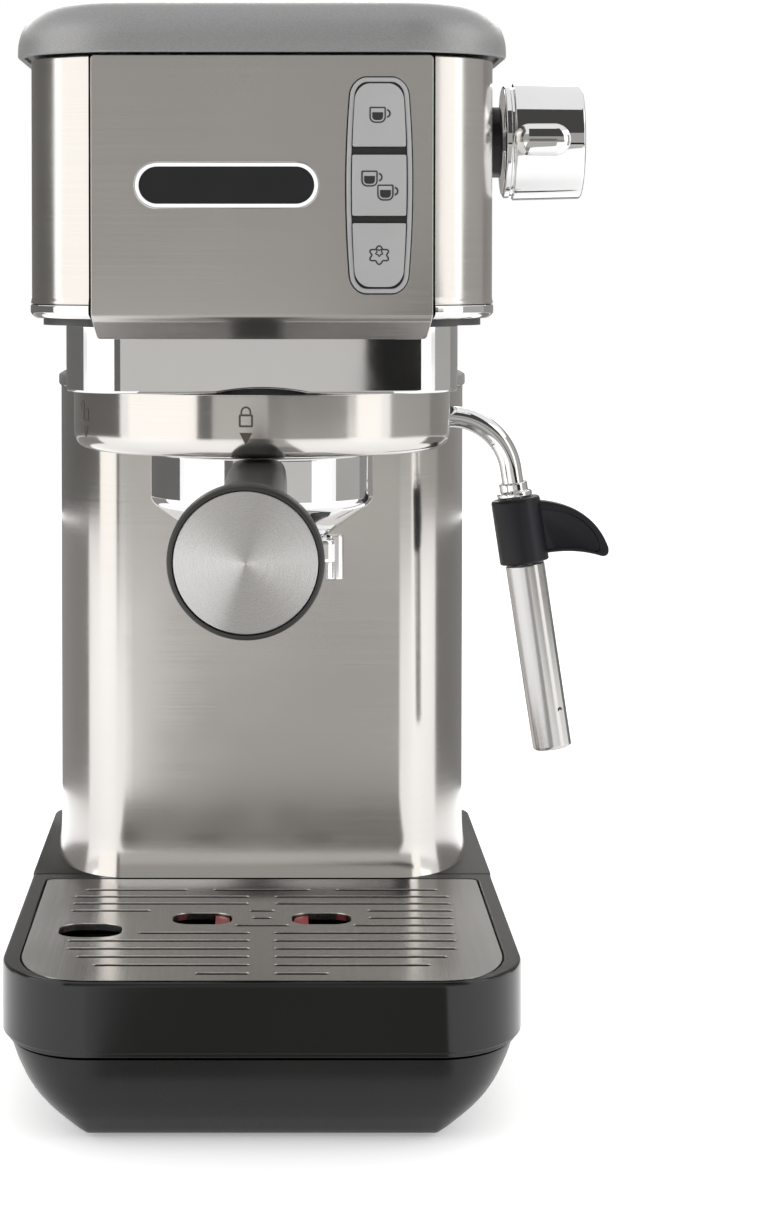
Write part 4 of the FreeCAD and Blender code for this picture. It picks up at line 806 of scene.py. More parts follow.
@dataclass
class Base:
    """Pan, deck and drip tray.

    Attributes:
        half: half width of the tray.
        front: its front.
        corner: its front corners' size.
        top: its height.
        tray_rear: its rear corners.
        tray_bottom: its foot.
        tray_gap: the play between tray and column, and the size of the tray's rear corners.
        seat: height of the ledge that the grate lies on.
        floor: height of the tray's inner floor.
        rim_radius: rounding of the tray's upper edge.
        pan_rear: the pan's rear.
        front_share: how much steeper the pan's front is than its sides.
        pan: (inset, height) of the pan's outside, from the bottom up.
        grate: plan of the grate.
        grate_top: the grate's upper face.
        grate_t: its thickness.
        slot_pitch: distance between its rows of slots.
        first_slot: Y of the front row.
        slot_width: width of a slot.
        roll: rounding of the grate's edges.
        drain: X and Y of the right drain window, mirrored for the left one.
        finger: X and Y of the finger hole.
    """

    half: float = 76.7
    front: float = -135.0
    corner: tuple[float, float] = (26.0, 34.0)
    top: float = 49.5
    tray_rear: float = 11.0
    tray_bottom: float = 27.3
    tray_gap: float = 0.6
    seat: float = 46.6
    floor: float = 29.6
    rim_radius: float = 1.6
    pan_rear: float = 134.0
    front_share: float = 0.4
    pan: tuple[tuple[float, float], ...] = (
        (21.0, 1.5), (18.6, 2.8), (15.5, 5.0), (11.5, 8.0), (7.6, 11.8), (4.6, 16.0), (1.9, 21.5),
        (0.4, 25.6), (0.2, 26.6),
    )
    grate: Plan = Plan(71.2, -132.8, 3.0, (19.0, 33.0), (3.0, 3.0), *FINE_STEPS)
    grate_top: float = 49.4
    grate_t: float = 2.2
    slot_pitch: float = 10.1
    first_slot: float = -124.5
    slot_width: float = 2.7
    roll: float = 0.32
    drain: tuple[float, float] = (18.6, -54.5)
    finger: tuple[float, float] = (-52.7, -70.3)

    def build(self) -> None:
        """Make every piece of the base."""
        self.make_pan()
        self.make_tray()
        self.make_grate()
        softened("base_deck", "machine", BLACK_DECK, 0.8)
        softened("tray_float", "float", RED, 0.4)
        softened("cord_gland", "machine", BLACK, 0.4)
        softened("switch_frame", "machine", GLOSS_BLACK, 0.3)
        softened("power_rocker", "rocker", GLOSS_BLACK, 0.3)

    def make_pan(self) -> None:
        """The pan: a bowed profile carried round its plan, steeper in front, closed above and below."""
        plan = Plan(74.2, -133.6, self.pan_rear, (24.0, 31.0), (16.0, 16.0))
        profile = fillet(self.pan, 2.0, 4)
        rows = plan.loft(profile)
        steeper = 1 - self.front_share * profile[:, None, 0] / self.front
        rows[..., 1] *= np.where(rows[..., 1] < 0, steeper, 1.0)
        Skin().capped(rows).piece("pan_shell", "machine", BLACK, ["base_pan"])

    def make_tray(self) -> None:
        """The tray: outer wall, rolled rim, ledge and well, each on its own plan."""
        gap = self.tray_gap
        outer = Plan(
            self.half, self.front, self.tray_rear, self.corner, (gap, gap), *FINE_STEPS,
            rear_limit=lambda x: column_front(x) - gap,
        )
        ledge = Plan(71.7, -133.3, 3.5, (19.5, 33.5), (3.5, 3.5), *FINE_STEPS)
        well = Plan(68.6, -130.2, 0.4, (16.4, 30.4), (1.0, 1.0), *FINE_STEPS)
        r, top, seat, low, floor = self.rim_radius, self.top, self.seat, self.tray_bottom, self.floor
        outside = fillet(
            [(4.0, low), (1.2, low), (1.2, low + 1.4), (0.0, low + 1.4), (0.0, top), (r * 1.2, top)],
            [0.4, 0.3, 0.5, r], 6,
        )
        down = fillet([(-0.9, top), (0.0, top), (0.0, seat), (1.2, seat)], [0.5, 0.4], 4)
        inner = fillet([(-1.2, seat), (0.0, seat), (0.0, floor), (6.0, floor)], [0.5, 2.5], 5)
        rows = np.concatenate([outer.loft(outside), ledge.loft(down), well.loft(inner)])
        Skin().capped(rows).piece("tray_shell", "tray", BLACK_TRAY, ["drip_tray"])

    def make_grate(self) -> None:
        """The grate: a filled plan whose slots and holes have rolled edges."""
        top, bottom, lip = self.grate_top, self.grate_top - self.grate_t, self.roll
        holes = self.grate_holes()
        edge = self.grate.loops(np.zeros(1))[0]
        skin = Skin()
        for height, inset, draw_in in ((top, lip, lip), (bottom, 0.0, 1.2)):
            outer = edge - loop_normals(edge) * draw_in
            skin.fill(outer, [h + loop_normals(h) * inset for h in holes], level(height))
        wall = fillet([(lip, top), (0.0, top), (0.0, bottom)], [lip * 0.9], 4)
        for hole in holes:
            skin.grid(rim(hole, wall))
        skirt = fillet(
            [(-lip, top), (0.0, top), (0.0, self.seat), (-1.2, self.seat), (-1.2, bottom)],
            [lip * 0.9, 0.2, 0.2], 4,
        )
        skin.grid(rim(edge, skirt))
        skin.piece("grate_plate", "grate", GRATE_STEEL, ["drip_grate"], smooth=math.radians(50))

    def grate_holes(self) -> list[Array]:
        """Outlines of the slots, row by row from the front, the drain windows and the finger hole."""
        rows: list[list[tuple[float, float]]] = [
            [(-19.5, -3.5), (3.5, 19.5)], [(-49.5, -3.5), (3.5, 49.5)], [(-55.0, -3.5), (3.5, 55.0)],
            [(-58.5, -3.5), (3.5, 58.5)], [(-59.0, -3.5), (3.5, 59.0)], [(-38.0, -3.5), (3.5, 59.0)],
            [(-8.6, 8.6), (28.0, 59.6)], [(-3.2, 3.2), (33.2, 60.0)],
            [(-60.6, -35.0), (-4.2, 4.2), (33.2, 60.6)], [(-60.6, -4.0), (4.0, 60.6)],
            [(-60.6, -4.0), (4.0, 60.6)], [(-57.5, -24.0), (-16.0, 16.0), (24.0, 57.5)],
        ]
        half = self.slot_width / 2
        holes = []
        for k, spans in enumerate(rows):
            y = self.first_slot + self.slot_pitch * k
            holes += [rounded_box_loop(span, (y - half, y + half), half - 0.01, 6) for span in spans]
        for side in (-1, 1):
            x, y = self.drain
            holes.append(rounded_box_loop((-9.25, 9.25), (-8.0, 8.0), 6.0, 12) + [side * x, y])
        holes.append(rounded_box_loop((-9.7, 9.7), (-9.2, 9.2), 7.0, 14) + self.finger)
        return holes


# --- column ---------------------------------------------------------------------------------------


@dataclass
class Column:
    """Steel column with the bright plate on top of it.

    Attributes:
        plan: outside of the column.
        low: its foot.
        high: its top.
        sheet: thickness of its steel.
        flare: how far the foot spreads.
        spread: height of the spreading part.
        lip: outside of the bright plate.
        lip_top: its top.
        lip_edge: rounding of its edges.
    """

    plan: Plan = Plan(70.0, 6.0, 81.8, (25.0, 54.0), (1.0, 1.0), 40, 48)
    low: float = 49.55
    high: float = 211.9
    sheet: float = 1.2
    flare: float = 1.6
    lip: Plan = Plan(70.8, 5.2, 81.8, (25.8, 54.8), (1.0, 1.0), 40, 48)
    lip_top: float = 216.0
    lip_edge: float = 0.9
    spread: float = 14.0

    def build(self) -> None:
        """Make every piece of the column."""
        tall = self.high - self.low
        heights = np.concatenate([np.linspace(0, self.spread, 12), np.linspace(30, tall, 8)])
        out = -self.flare * np.clip(1 - heights / self.spread, 0, 1) ** 2.4
        outside = np.stack([out, self.low + heights], -1)
        inside_face = outside[::-1] + [self.sheet, 0.0]
        skin = Skin().tube(self.plan.u_path(np.concatenate([outside, inside_face])))
        skin.piece("column_skin", "machine", COLUMN_STEEL, ["column_shell"])
        r, low, high = self.lip_edge, self.high + 0.2, self.lip_top
        edge = fillet([(20.0, low), (0.0, low), (0.0, high), (20.0, high)], [r, r], 6)
        Skin().capped(self.lip.loft(edge)).piece("column_cap", "machine", SATIN_CHROME, ["lip_plate"])
        softened("back_wall", "machine", BLACK, 0.5)


# --- brew group -----------------------------------------------------------------------------------


@dataclass
class Group:
    """Band, collar and what hangs in them.

    Attributes:
        y: the group's axis.
        band: plan of the chromed band.
        band_z: the band's foot and top.
        band_wall: its thickness.
        arch: half width and height of the relief in the band's front edge.
        collar_radius: the collar's outside.
        collar_z: its foot and top.
        collar_wall: its thickness.
        collar_fillet: rounding of its lower edge.
        mouth_radius: its opening below.
    """

    y: float = GROUP_Y
    band: Plan = Plan(58.3, -112.0, 81.8, (22.0, 22.0), (2.0, 2.0), 96, 32)
    band_z: tuple[float, float] = (216.2, 236.0)
    band_wall: float = 1.6
    arch: tuple[float, float] = (13.5, 1.3)
    collar_radius: float = 58.2
    collar_z: tuple[float, float] = (197.2, 216.0)
    collar_wall: float = 1.4
    collar_fillet: float = 6.0
    mouth_radius: float = 37.0

    def at_axis(self, grid: Array) -> Array:
        """Move a shape turned about Z onto the group's axis."""
        return grid + [0.0, self.y, 0.0]

    def build(self) -> None:
        """Make every piece of the group."""
        self.make_band()
        self.make_collar()
        self.make_marks()
        softened("group_head", "machine", CAST, 0.3)
        softened("group_gasket", "machine", RUBBER, 0.2)
        softened("shower_screen", "machine", PLAIN_STEEL, 0.0)

    def make_band(self) -> None:
        """The band: a wall with a floor flange, its lower edge lifted over the collar by a shallow arch."""
        z0, z1 = self.band_z
        w = self.band_wall
        profile = fillet(
            [(12.0, z0 + w), (w, z0 + w), (w, z1), (0.0, z1), (0.0, z0 + 3.4), (0.0, z0), (12.0, z0)],
            [1.0, 0.5, 0.5, 0.2, 0.8], 6,
        )
        grid = self.band.loft(profile)
        half, height = self.arch
        near_front = np.clip((-100.0 - grid[..., 1]) / 6.0, 0, 1)
        lift = height * np.clip(1 - (grid[..., 0] / half) ** 2, 0, 1) * near_front
        low = np.clip((z0 + 3.4 - grid[..., 2]) / 2.2, 0, 1)
        grid[..., 2] += lift * low
        Skin().ring(grid).piece("group_band", "machine", CHROME, ["group_surround"])

    def make_collar(self) -> None:
        """The collar: a cup turned about the group's axis, open below."""
        r, (z0, z1), f, m = self.collar_radius, self.collar_z, self.collar_fillet, self.mouth_radius
        t = self.collar_wall
        floor = z0 + t
        profile = fillet(
            [(m + 2, floor), (r - t, floor), (r - t, z1), (r, z1),
             (r, z0), (m, z0), (m, floor), (m + 2, floor)],
            [f - t, 0.4, 0.4, f, 0.4, 0.4], 10,
        )
        grid = self.at_axis(revolve(profile[:-1], 160))
        Skin().ring(grid).piece("collar_cup", "machine", COLLAR_STEEL, ["group_collar"])

    def make_marks(self) -> None:
        """Printed padlocks and arrows on the collar: the closed one in front, the open one to its left."""
        for name, turn, opened in (("closed_mark", -4.6, False), ("open_mark", -66.0, True)):
            skin = Skin()
            for outline, holes in self.mark_shapes(opened):
                skin.fill(outline, holes, lambda p, a=turn: self.on_collar(p, a))
            skin.piece(name, "machine", MARK, slot="black_plastic")

    def on_collar(self, flat: Array, turn: float) -> Array:
        """Wrap flat points round the collar, a hair proud of it: angle = x / radius + turn."""
        r = self.collar_radius + 0.06
        a = flat[:, 0] / r + math.radians(turn - 90.0)
        return np.stack([r * np.cos(a), self.y + r * np.sin(a), flat[:, 1]], -1)

    def mark_shapes(self, opened: bool) -> list[tuple[Array, list[Array]]]:
        """Body, shackle and arrow of a padlock mark as flat outlines, the shackle swung aside when open."""
        body = rounded_box_loop((-2.1, 2.1), (206.6, 210.4), 0.5, 4)
        window = rounded_box_loop((-1.5, 1.5), (207.2, 209.8), 0.2, 3)
        a = np.linspace(0, math.pi, 20)
        shift = 2.9 if opened else 0.0
        outer = np.c_[1.6 * np.cos(a), 211.0 + 1.7 * np.sin(a)]
        inner = np.c_[1.05 * np.cos(a[::-1]), 211.0 + 1.15 * np.sin(a[::-1])]
        legs = np.array([[-1.6, 210.45], [-1.05, 210.45]])
        right = np.array([[1.05, 210.45], [1.6, 210.45]])
        shackle = np.vstack([outer, legs, inner, right]) - [shift, 0.0]
        arrow = np.array([[-1.9, 205.0], [0.0, 201.4], [1.9, 205.0]])
        return [(body, [window]), (shackle, []), (arrow, [])]


@dataclass
class Portafilter:
    """Bowl, spouts and handle, all turned by the handle's small yaw.

    Attributes:
        y: the group's axis.
        yaw: how far the handle points to the left, in degrees.
        pitch: how far it points down.
        axis_z: height of its axis where it meets the group's.
        rim: the bowl's top.
        inner_radius: the bowl's inside.
        floor: height of the bowl's inner floor.
        bowl: (radius, height) of the bowl's outside.
        grip: (distance from the group's axis, radius) of the grip.
        grip_end: the grip's end along its axis.
        cap_radius: the steel cap's radius.
        spout_x: distance of each spout from the middle.
    """

    y: float = GROUP_Y
    yaw: float = 1.5
    pitch: float = 5.2
    axis_z: float = 192.4
    rim: float = 206.0
    inner_radius: float = 28.6
    floor: float = 181.5
    bowl: tuple[tuple[float, float], ...] = (
        (31.6, 206.0), (31.6, 197.0), (34.5, 196.4), (34.5, 180.4), (19.0, 169.4), (11.5, 168.0)
    )
    grip: tuple[tuple[float, float], ...] = (
        (46.0, 8.3), (56.0, 8.8), (76.0, 9.0), (96.0, 9.6), (112.0, 11.1), (128.0, 13.9), (142.0, 17.2),
        (152.0, 19.4), (157.0, 20.2),
    )
    grip_end: float = 161.6
    cap_radius: float = 18.7
    spout_x: float = 22.7

    def turned(self, grid: Array) -> Array:
        """Turn points drawn about the group's axis by the yaw, and move them there."""
        a = -math.radians(self.yaw)
        x, y = grid[..., 0], grid[..., 1]
        across = x * math.cos(a) - y * math.sin(a)
        along = self.y + x * math.sin(a) + y * math.cos(a)
        return np.stack([across, along, grid[..., 2]], -1)

    def on_handle(self, grid: Array) -> Array:
        """Lay a shape turned about Z along the handle: Z runs out along the sloping axis."""
        p = math.radians(self.pitch)
        x, up, out = grid[..., 0], grid[..., 1], grid[..., 2]
        y = -out * math.cos(p) - up * math.sin(p)
        z = self.axis_z - out * math.sin(p) + up * math.cos(p)
        return self.turned(np.stack([x, y, z], -1))

    def build(self) -> None:
        """Make every piece of the portafilter."""
        self.make_bowl()
        self.make_spouts()
        self.make_handle()
        softened("filter_basket", "portafilter", PLAIN_STEEL, 0.0)

    def make_bowl(self) -> None:
        """The bowl: one turned profile, with ears above and the handle's boss in front."""
        outside = fillet(self.bowl, [0.3, 1.4, 2.0, 2.4], 6)
        r, floor, rim_z = self.inner_radius, self.floor, self.rim
        ring = fillet(
            [(11.5, 168.0), (4.0, 168.0), (4.0, floor), (r, floor), (r, rim_z), (31.6, rim_z)],
            [0.5, 0.5, 2.0, 0.4], 5,
        )
        profile = np.vstack([outside, ring[1:-1]])
        skin = Skin().ring(self.turned(revolve(profile, 144)))
        for k in range(3):
            a = np.radians(30 + 120 * k + np.linspace(-18, 18, 17))[None, :]
            section = closed_fillet([(31.0, 203.0), (35.6, 203.0), (35.6, 206.0), (31.0, 206.0)], 0.5, 3)
            r, z = section[:, :1], section[:, 1:]
            heights = np.broadcast_to(z, (len(section), a.shape[1]))
            skin.tube(self.turned(np.stack([r * np.cos(a), r * np.sin(a), heights], -1)))
        boss = fillet([(7.3, 30.5), (7.3, 45.7), (0.5, 45.7)], [0.8], 4)
        skin.capped(self.on_handle(revolve(boss, 48)))
        skin.piece("bowl_body", "portafilter", CHROME, ["portafilter_bowl"])

    def make_spouts(self) -> None:
        """The spouts: a bar across the hub and an upright tube through each of its ends."""
        skin = Skin()
        bar = Plan(23.4, -5.0, 5.0, (4.9, 4.9), (4.9, 4.9), 6, 16)
        side_wall = fillet([(1.6, 161.4), (0.0, 161.4), (0.0, 168.4), (1.4, 169.4)], [1.2, 1.0], 5)
        skin.capped(self.turned(bar.loft(side_wall)))
        outside = fillet(
            [(0.9, 158.2), (1.7, 158.2), (1.7, 156.2), (2.65, 156.2), (2.65, 170.0), (0.6, 170.0)],
            [0.1, 0.2, 0.3, 0.3], 4,
        )
        for side in (-1, 1):
            skin.capped(self.turned(revolve(outside, 48) + [side * self.spout_x, 0, 0]))
        skin.piece("twin_spout", "portafilter", CHROME, ["spout_block"])

    def make_handle(self) -> None:
        """The handle: the grip and its cap.

        The grip's section passes from a rounded square, |x|^n + |y|^n = r^n, to a circle.
        """
        g = np.asarray(self.grip)
        s = np.linspace(g[0, 0], g[-1, 0], 48)
        fit = np.polyfit(g[:, 0] - 100.0, g[:, 1], 5)
        flare = np.c_[np.polyval(fit, s - 100.0), s]
        e = self.grip_end
        end = fillet(
            [tuple(flare[-1]), (20.3, e - 0.4), (19.4, e), (18.9, e), (18.9, e - 2.2), (2.0, e - 2.2)],
            [1.2, 0.3, 0.15, 0.2], 4,
        )
        profile = np.vstack([[(3.2, g[0, 0])], flare[:-1], end])
        round_grid = revolve(profile, 120)
        squareness = 2 + 2.6 * np.clip((135 - profile[:, 1]) / 60, 0, 1)[:, None]
        unit = np.abs(round_grid[..., :2]) / np.maximum(profile[:, :1, None], 1e-6)
        scale = (unit**squareness[..., None]).sum(-1) ** (-1 / squareness)
        round_grid[..., :2] *= scale[..., None]
        skin = Skin().capped(self.on_handle(round_grid))
        skin.piece("grip_handle", "portafilter", DARK_GRIP, ["handle_grip"])
        cap = fillet([(0.02, e + 0.5), (self.cap_radius, e - 0.4), (self.cap_radius, e - 2.1)], [0.4], 4)
        rings = np.concatenate([np.linspace(cap[0], cap[1], 16)[:-1], cap[1:]])
        skin = Skin()
        skin.grid(self.on_handle(revolve(rings, 128))).cap(self.on_handle(revolve(rings[-1:], 128))[0])
        skin.piece("grip_cap", "portafilter", CAP_STEEL, ["handle_cap"])


# --- head -----------------------------------------------------------------------------------------


@dataclass
class Head:
    """Sheets, front plate, trim, cover and cup plate.

    Attributes:
        plan: outside of the bent side sheets.
        sides_z: their foot and top.
        sheet: their thickness.
        front_half: half width of the flat front plate.
        front_y: its face.
        front_t: its thickness.
        window: X and Z limits of its opening for the buttons.
        cover: plan of the cover.
        cover_z: the cover's foot and top.
        split_y: where the tank's lid parts from the cover.
        split_gap: half the gap there.
    """

    plan: Plan = Plan(68.5, -119.5, 78.6, (30.0, 30.0), (1.0, 1.0), 160, 40)
    sides_z: tuple[float, float] = (242.2, 314.0)
    sheet: float = 1.2
    front_half: float = 49.2
    front_y: float = -121.0
    front_t: float = 2.4
    window: tuple[tuple[float, float], tuple[float, float]] = ((24.2, 43.1), (245.3, 307.7))
    cover: Plan = Plan(72.3, -124.5, 135.0, (33.0, 33.0), (24.0, 24.0), 60, 40)
    cover_z: tuple[float, float] = (314.6, 330.0)
    split_y: float = 87.2
    split_gap: float = 0.4

    def build(self) -> None:
        """Make every piece of the head."""
        self.make_sides()
        self.make_front()
        self.make_trim()
        self.make_cover()
        self.make_cup_plate()
        softened("head_frame", "machine", GREY, 0.3)

    def make_sides(self) -> None:
        """Each side: the sheet's section, carried from the front plate's edge to the rear."""
        z0, z1 = self.sides_z
        t = self.sheet
        foot = [(-0.25, z0), (-0.25, z0 + 0.8), (0.0, z0 + 1.8)]
        section = closed_fillet([(0.0, z1), (t, z1), (t, z0), *foot], 0.3, 3)
        limit = self.front_half + 0.7
        for name, node, low, high in (
            ("left_sheet", "head_left_panel", -math.inf, -limit),
            ("right_sheet", "head_right_panel", limit, math.inf),
        ):
            Skin().tube(self.plan.u_path(section, low, high)).piece(name, "machine", PANEL_STEEL, [node])

    def bend(self, flat: Array, depth: float) -> Array:
        """Bend a flat plate back along its lower edge.

        Below the bend height the plate follows a circle of the bend radius and then its tangent. The angle
        is how far below, over the radius, up to the slope.

        Args:
            flat: points of shape (..., 2), X and distance up the plate.
            depth: how far behind the face the points lie.

        Returns:
            Points of shape (..., 3).
        """
        z_bend, radius, slope = 239.2, 2.6, math.radians(46)
        below = np.maximum(z_bend - flat[..., 1], 0.0)
        angle = np.minimum(below / radius, slope)
        past = below - angle * radius
        r = radius
        y = r * (1 - np.cos(angle)) + past * np.sin(angle)
        z = z_bend - r * np.sin(angle) - past * np.cos(angle)
        straight = flat[..., 1] >= z_bend
        y = np.where(straight, 0.0, y) + depth * np.cos(angle)
        z = np.where(straight, flat[..., 1], z) + depth * np.sin(angle)
        draw_in = 1 - 0.028 * np.clip(below / 9.0, 0, 1)
        return np.stack([flat[..., 0] * draw_in, self.front_y + y, z], -1)

    def make_front(self) -> None:
        """The front plate: a filled outline with an open window, its lower edge bent back."""
        h, r = self.front_half, 0.5
        outline = refined(rounded_box_loop((-h, h), (229.6, self.sides_z[1]), 1.2, 6), 0.6)
        (x0, x1), (z0, z1) = self.window
        hole = barrel(rounded_box_loop((x0, x1), (z0, z1), 5.3, 10))
        across = np.linspace(-h + 1.5, h - 1.5, 40)
        lines = [np.c_[across, np.full(40, z)] for z in np.linspace(231, 240, 19)]
        skin = Skin()
        for depth, inset in ((0.0, r), (self.front_t, 0.0)):
            edge = outline - loop_normals(outline) * inset
            opening = hole + loop_normals(hole) * inset * 0.6
            skin.fill(edge, [opening], lambda p, d=depth: self.bend(p, d), lines)
        wall = fillet([(-r, 0.0), (0.0, 0.0), (0.0, self.front_t)], [r * 0.9], 4)
        for loop, sign in ((outline, 1.0), (hole, -0.6)):
            ring = rim(loop, wall * [sign, 1.0])
            depth = np.broadcast_to(wall[:, 1:, None], ring.shape[:2] + (1,))[..., 0]
            skin.grid(self.bend(ring[..., :2], depth))
        skin.piece("front_plate", "machine", PANEL_STEEL, ["head_front_panel"], smooth=math.radians(40))

    def make_trim(self) -> None:
        """The chromed rail: a rounded section carried under each side sheet."""
        z0, z1 = 238.0, self.sides_z[0] - 0.1
        section = closed_fillet([(-0.4, z1), (3.0, z1), (3.0, z0), (1.2, z0), (-0.4, z0 + 1.4)], 0.9, 5)
        limit = self.front_half + 0.7
        skin = Skin()
        skin.tube(self.plan.u_path(section, x_to=-limit))
        skin.tube(self.plan.u_path(section, x_from=limit))
        skin.piece("side_rail", "machine", CHROME, ["head_trim"])

    def cover_rows(self) -> Array:
        """Rounded edge of the cover: a quarter superellipse from wall to top, shape (rows, 2)."""
        z0, z1 = self.cover_z
        a = np.linspace(0, math.pi / 2, 22)
        inset = 15.0 * (1 - np.cos(a) ** 0.86)
        height = z0 + 1.6 + (z1 - z0 - 1.6) * np.sin(a) ** 0.92
        foot = np.array([(2.2, z0 + 1.0), (2.0, z0), (0.35, z0), (0.0, z0 + 0.5)])
        return np.vstack([foot, np.c_[inset, height]])

    def make_cover(self) -> None:
        """The cover in front of the split, with a recess for the cup plate, and the lid behind it."""
        rows = self.cover.loft(self.cover_rows())
        front = rows.copy()
        front[..., 1] = np.minimum(front[..., 1], self.split_y - self.split_gap)
        recess = self.cover_recess()
        skin = Skin().grid(np.concatenate([front, recess])).cap(front[0]).cap(recess[-1])
        skin.piece("cover_shell", "machine", PAINT, ["top_cover"])
        rear = rows.copy()
        rear[..., 1] = np.maximum(rear[..., 1], self.split_y + self.split_gap)
        rear = rear[:, (rows[-1, :, 1] > self.split_y) | (rows[0, :, 1] > self.split_y)]
        Skin().capped(rear).piece("lid_shell", "tank_lid", PAINT, ["tank_lid"])

    def cover_recess(self) -> Array:
        """Loops of the cup plate's recess, with the cover's own point count."""
        steps = (self.cover.side_steps, self.cover.corner_steps)
        plan = Plan(55.4, -104.4, 78.4, (18.3, 18.3), (10.3, 10.3), *steps)
        z1 = self.cover_z[1]
        return plan.loft(fillet([(-0.8, z1), (0.0, z1), (0.0, z1 - 1.2), (1.0, z1 - 1.2)], [0.5, 0.2], 4))

    def make_cup_plate(self) -> None:
        """The cup plate: a shallow dish with raised bars whose ends are round."""
        plan = Plan(55.0, -104.0, 78.0, (17.7, 17.7), (9.7, 9.7))
        base = fillet(
            [(2.0, 328.9), (0.0, 328.9), (0.0, 330.5), (1.6, 330.5), (2.4, 329.7), (6.0, 329.7)],
            [0.2, 0.4, 0.4, 0.4], 4,
        )
        skin = Skin().capped(plan.loft(base))
        for k in range(-3, 4):
            x = 14.0 * k
            bar = Plan(1.7, -82.0, 62.0, (1.69, 1.69), (1.69, 1.69), 4, 8)
            grid = bar.loft(fillet([(0.0, 329.5), (0.0, 330.9), (1.6, 330.9)], [0.8], 4))
            skin.capped(grid + [x, 0, 0])
        skin.piece("cup_rest", "machine", PANEL_STEEL, ["cup_plate"])


# --- front controls -------------------------------------------------------------------------------


class Sign(Enum):
    """What a button's picture shows."""

    ONE_CUP = "one_cup"
    TWO_CUPS = "two_cup"
    STEAM = "steam"


def barrel(loop: Array) -> Array:
    """Bow the sides of an outline round the buttons: half width shrinks with the square of the height."""
    fine = refined(loop, 1.2)
    centre_x, centre_z, reach = 33.6, 276.5, 31.0
    share = 1.03 - 0.16 * ((fine[:, 1] - centre_z) / reach) ** 2
    return np.c_[centre_x + (fine[:, 0] - centre_x) * share, fine[:, 1]]


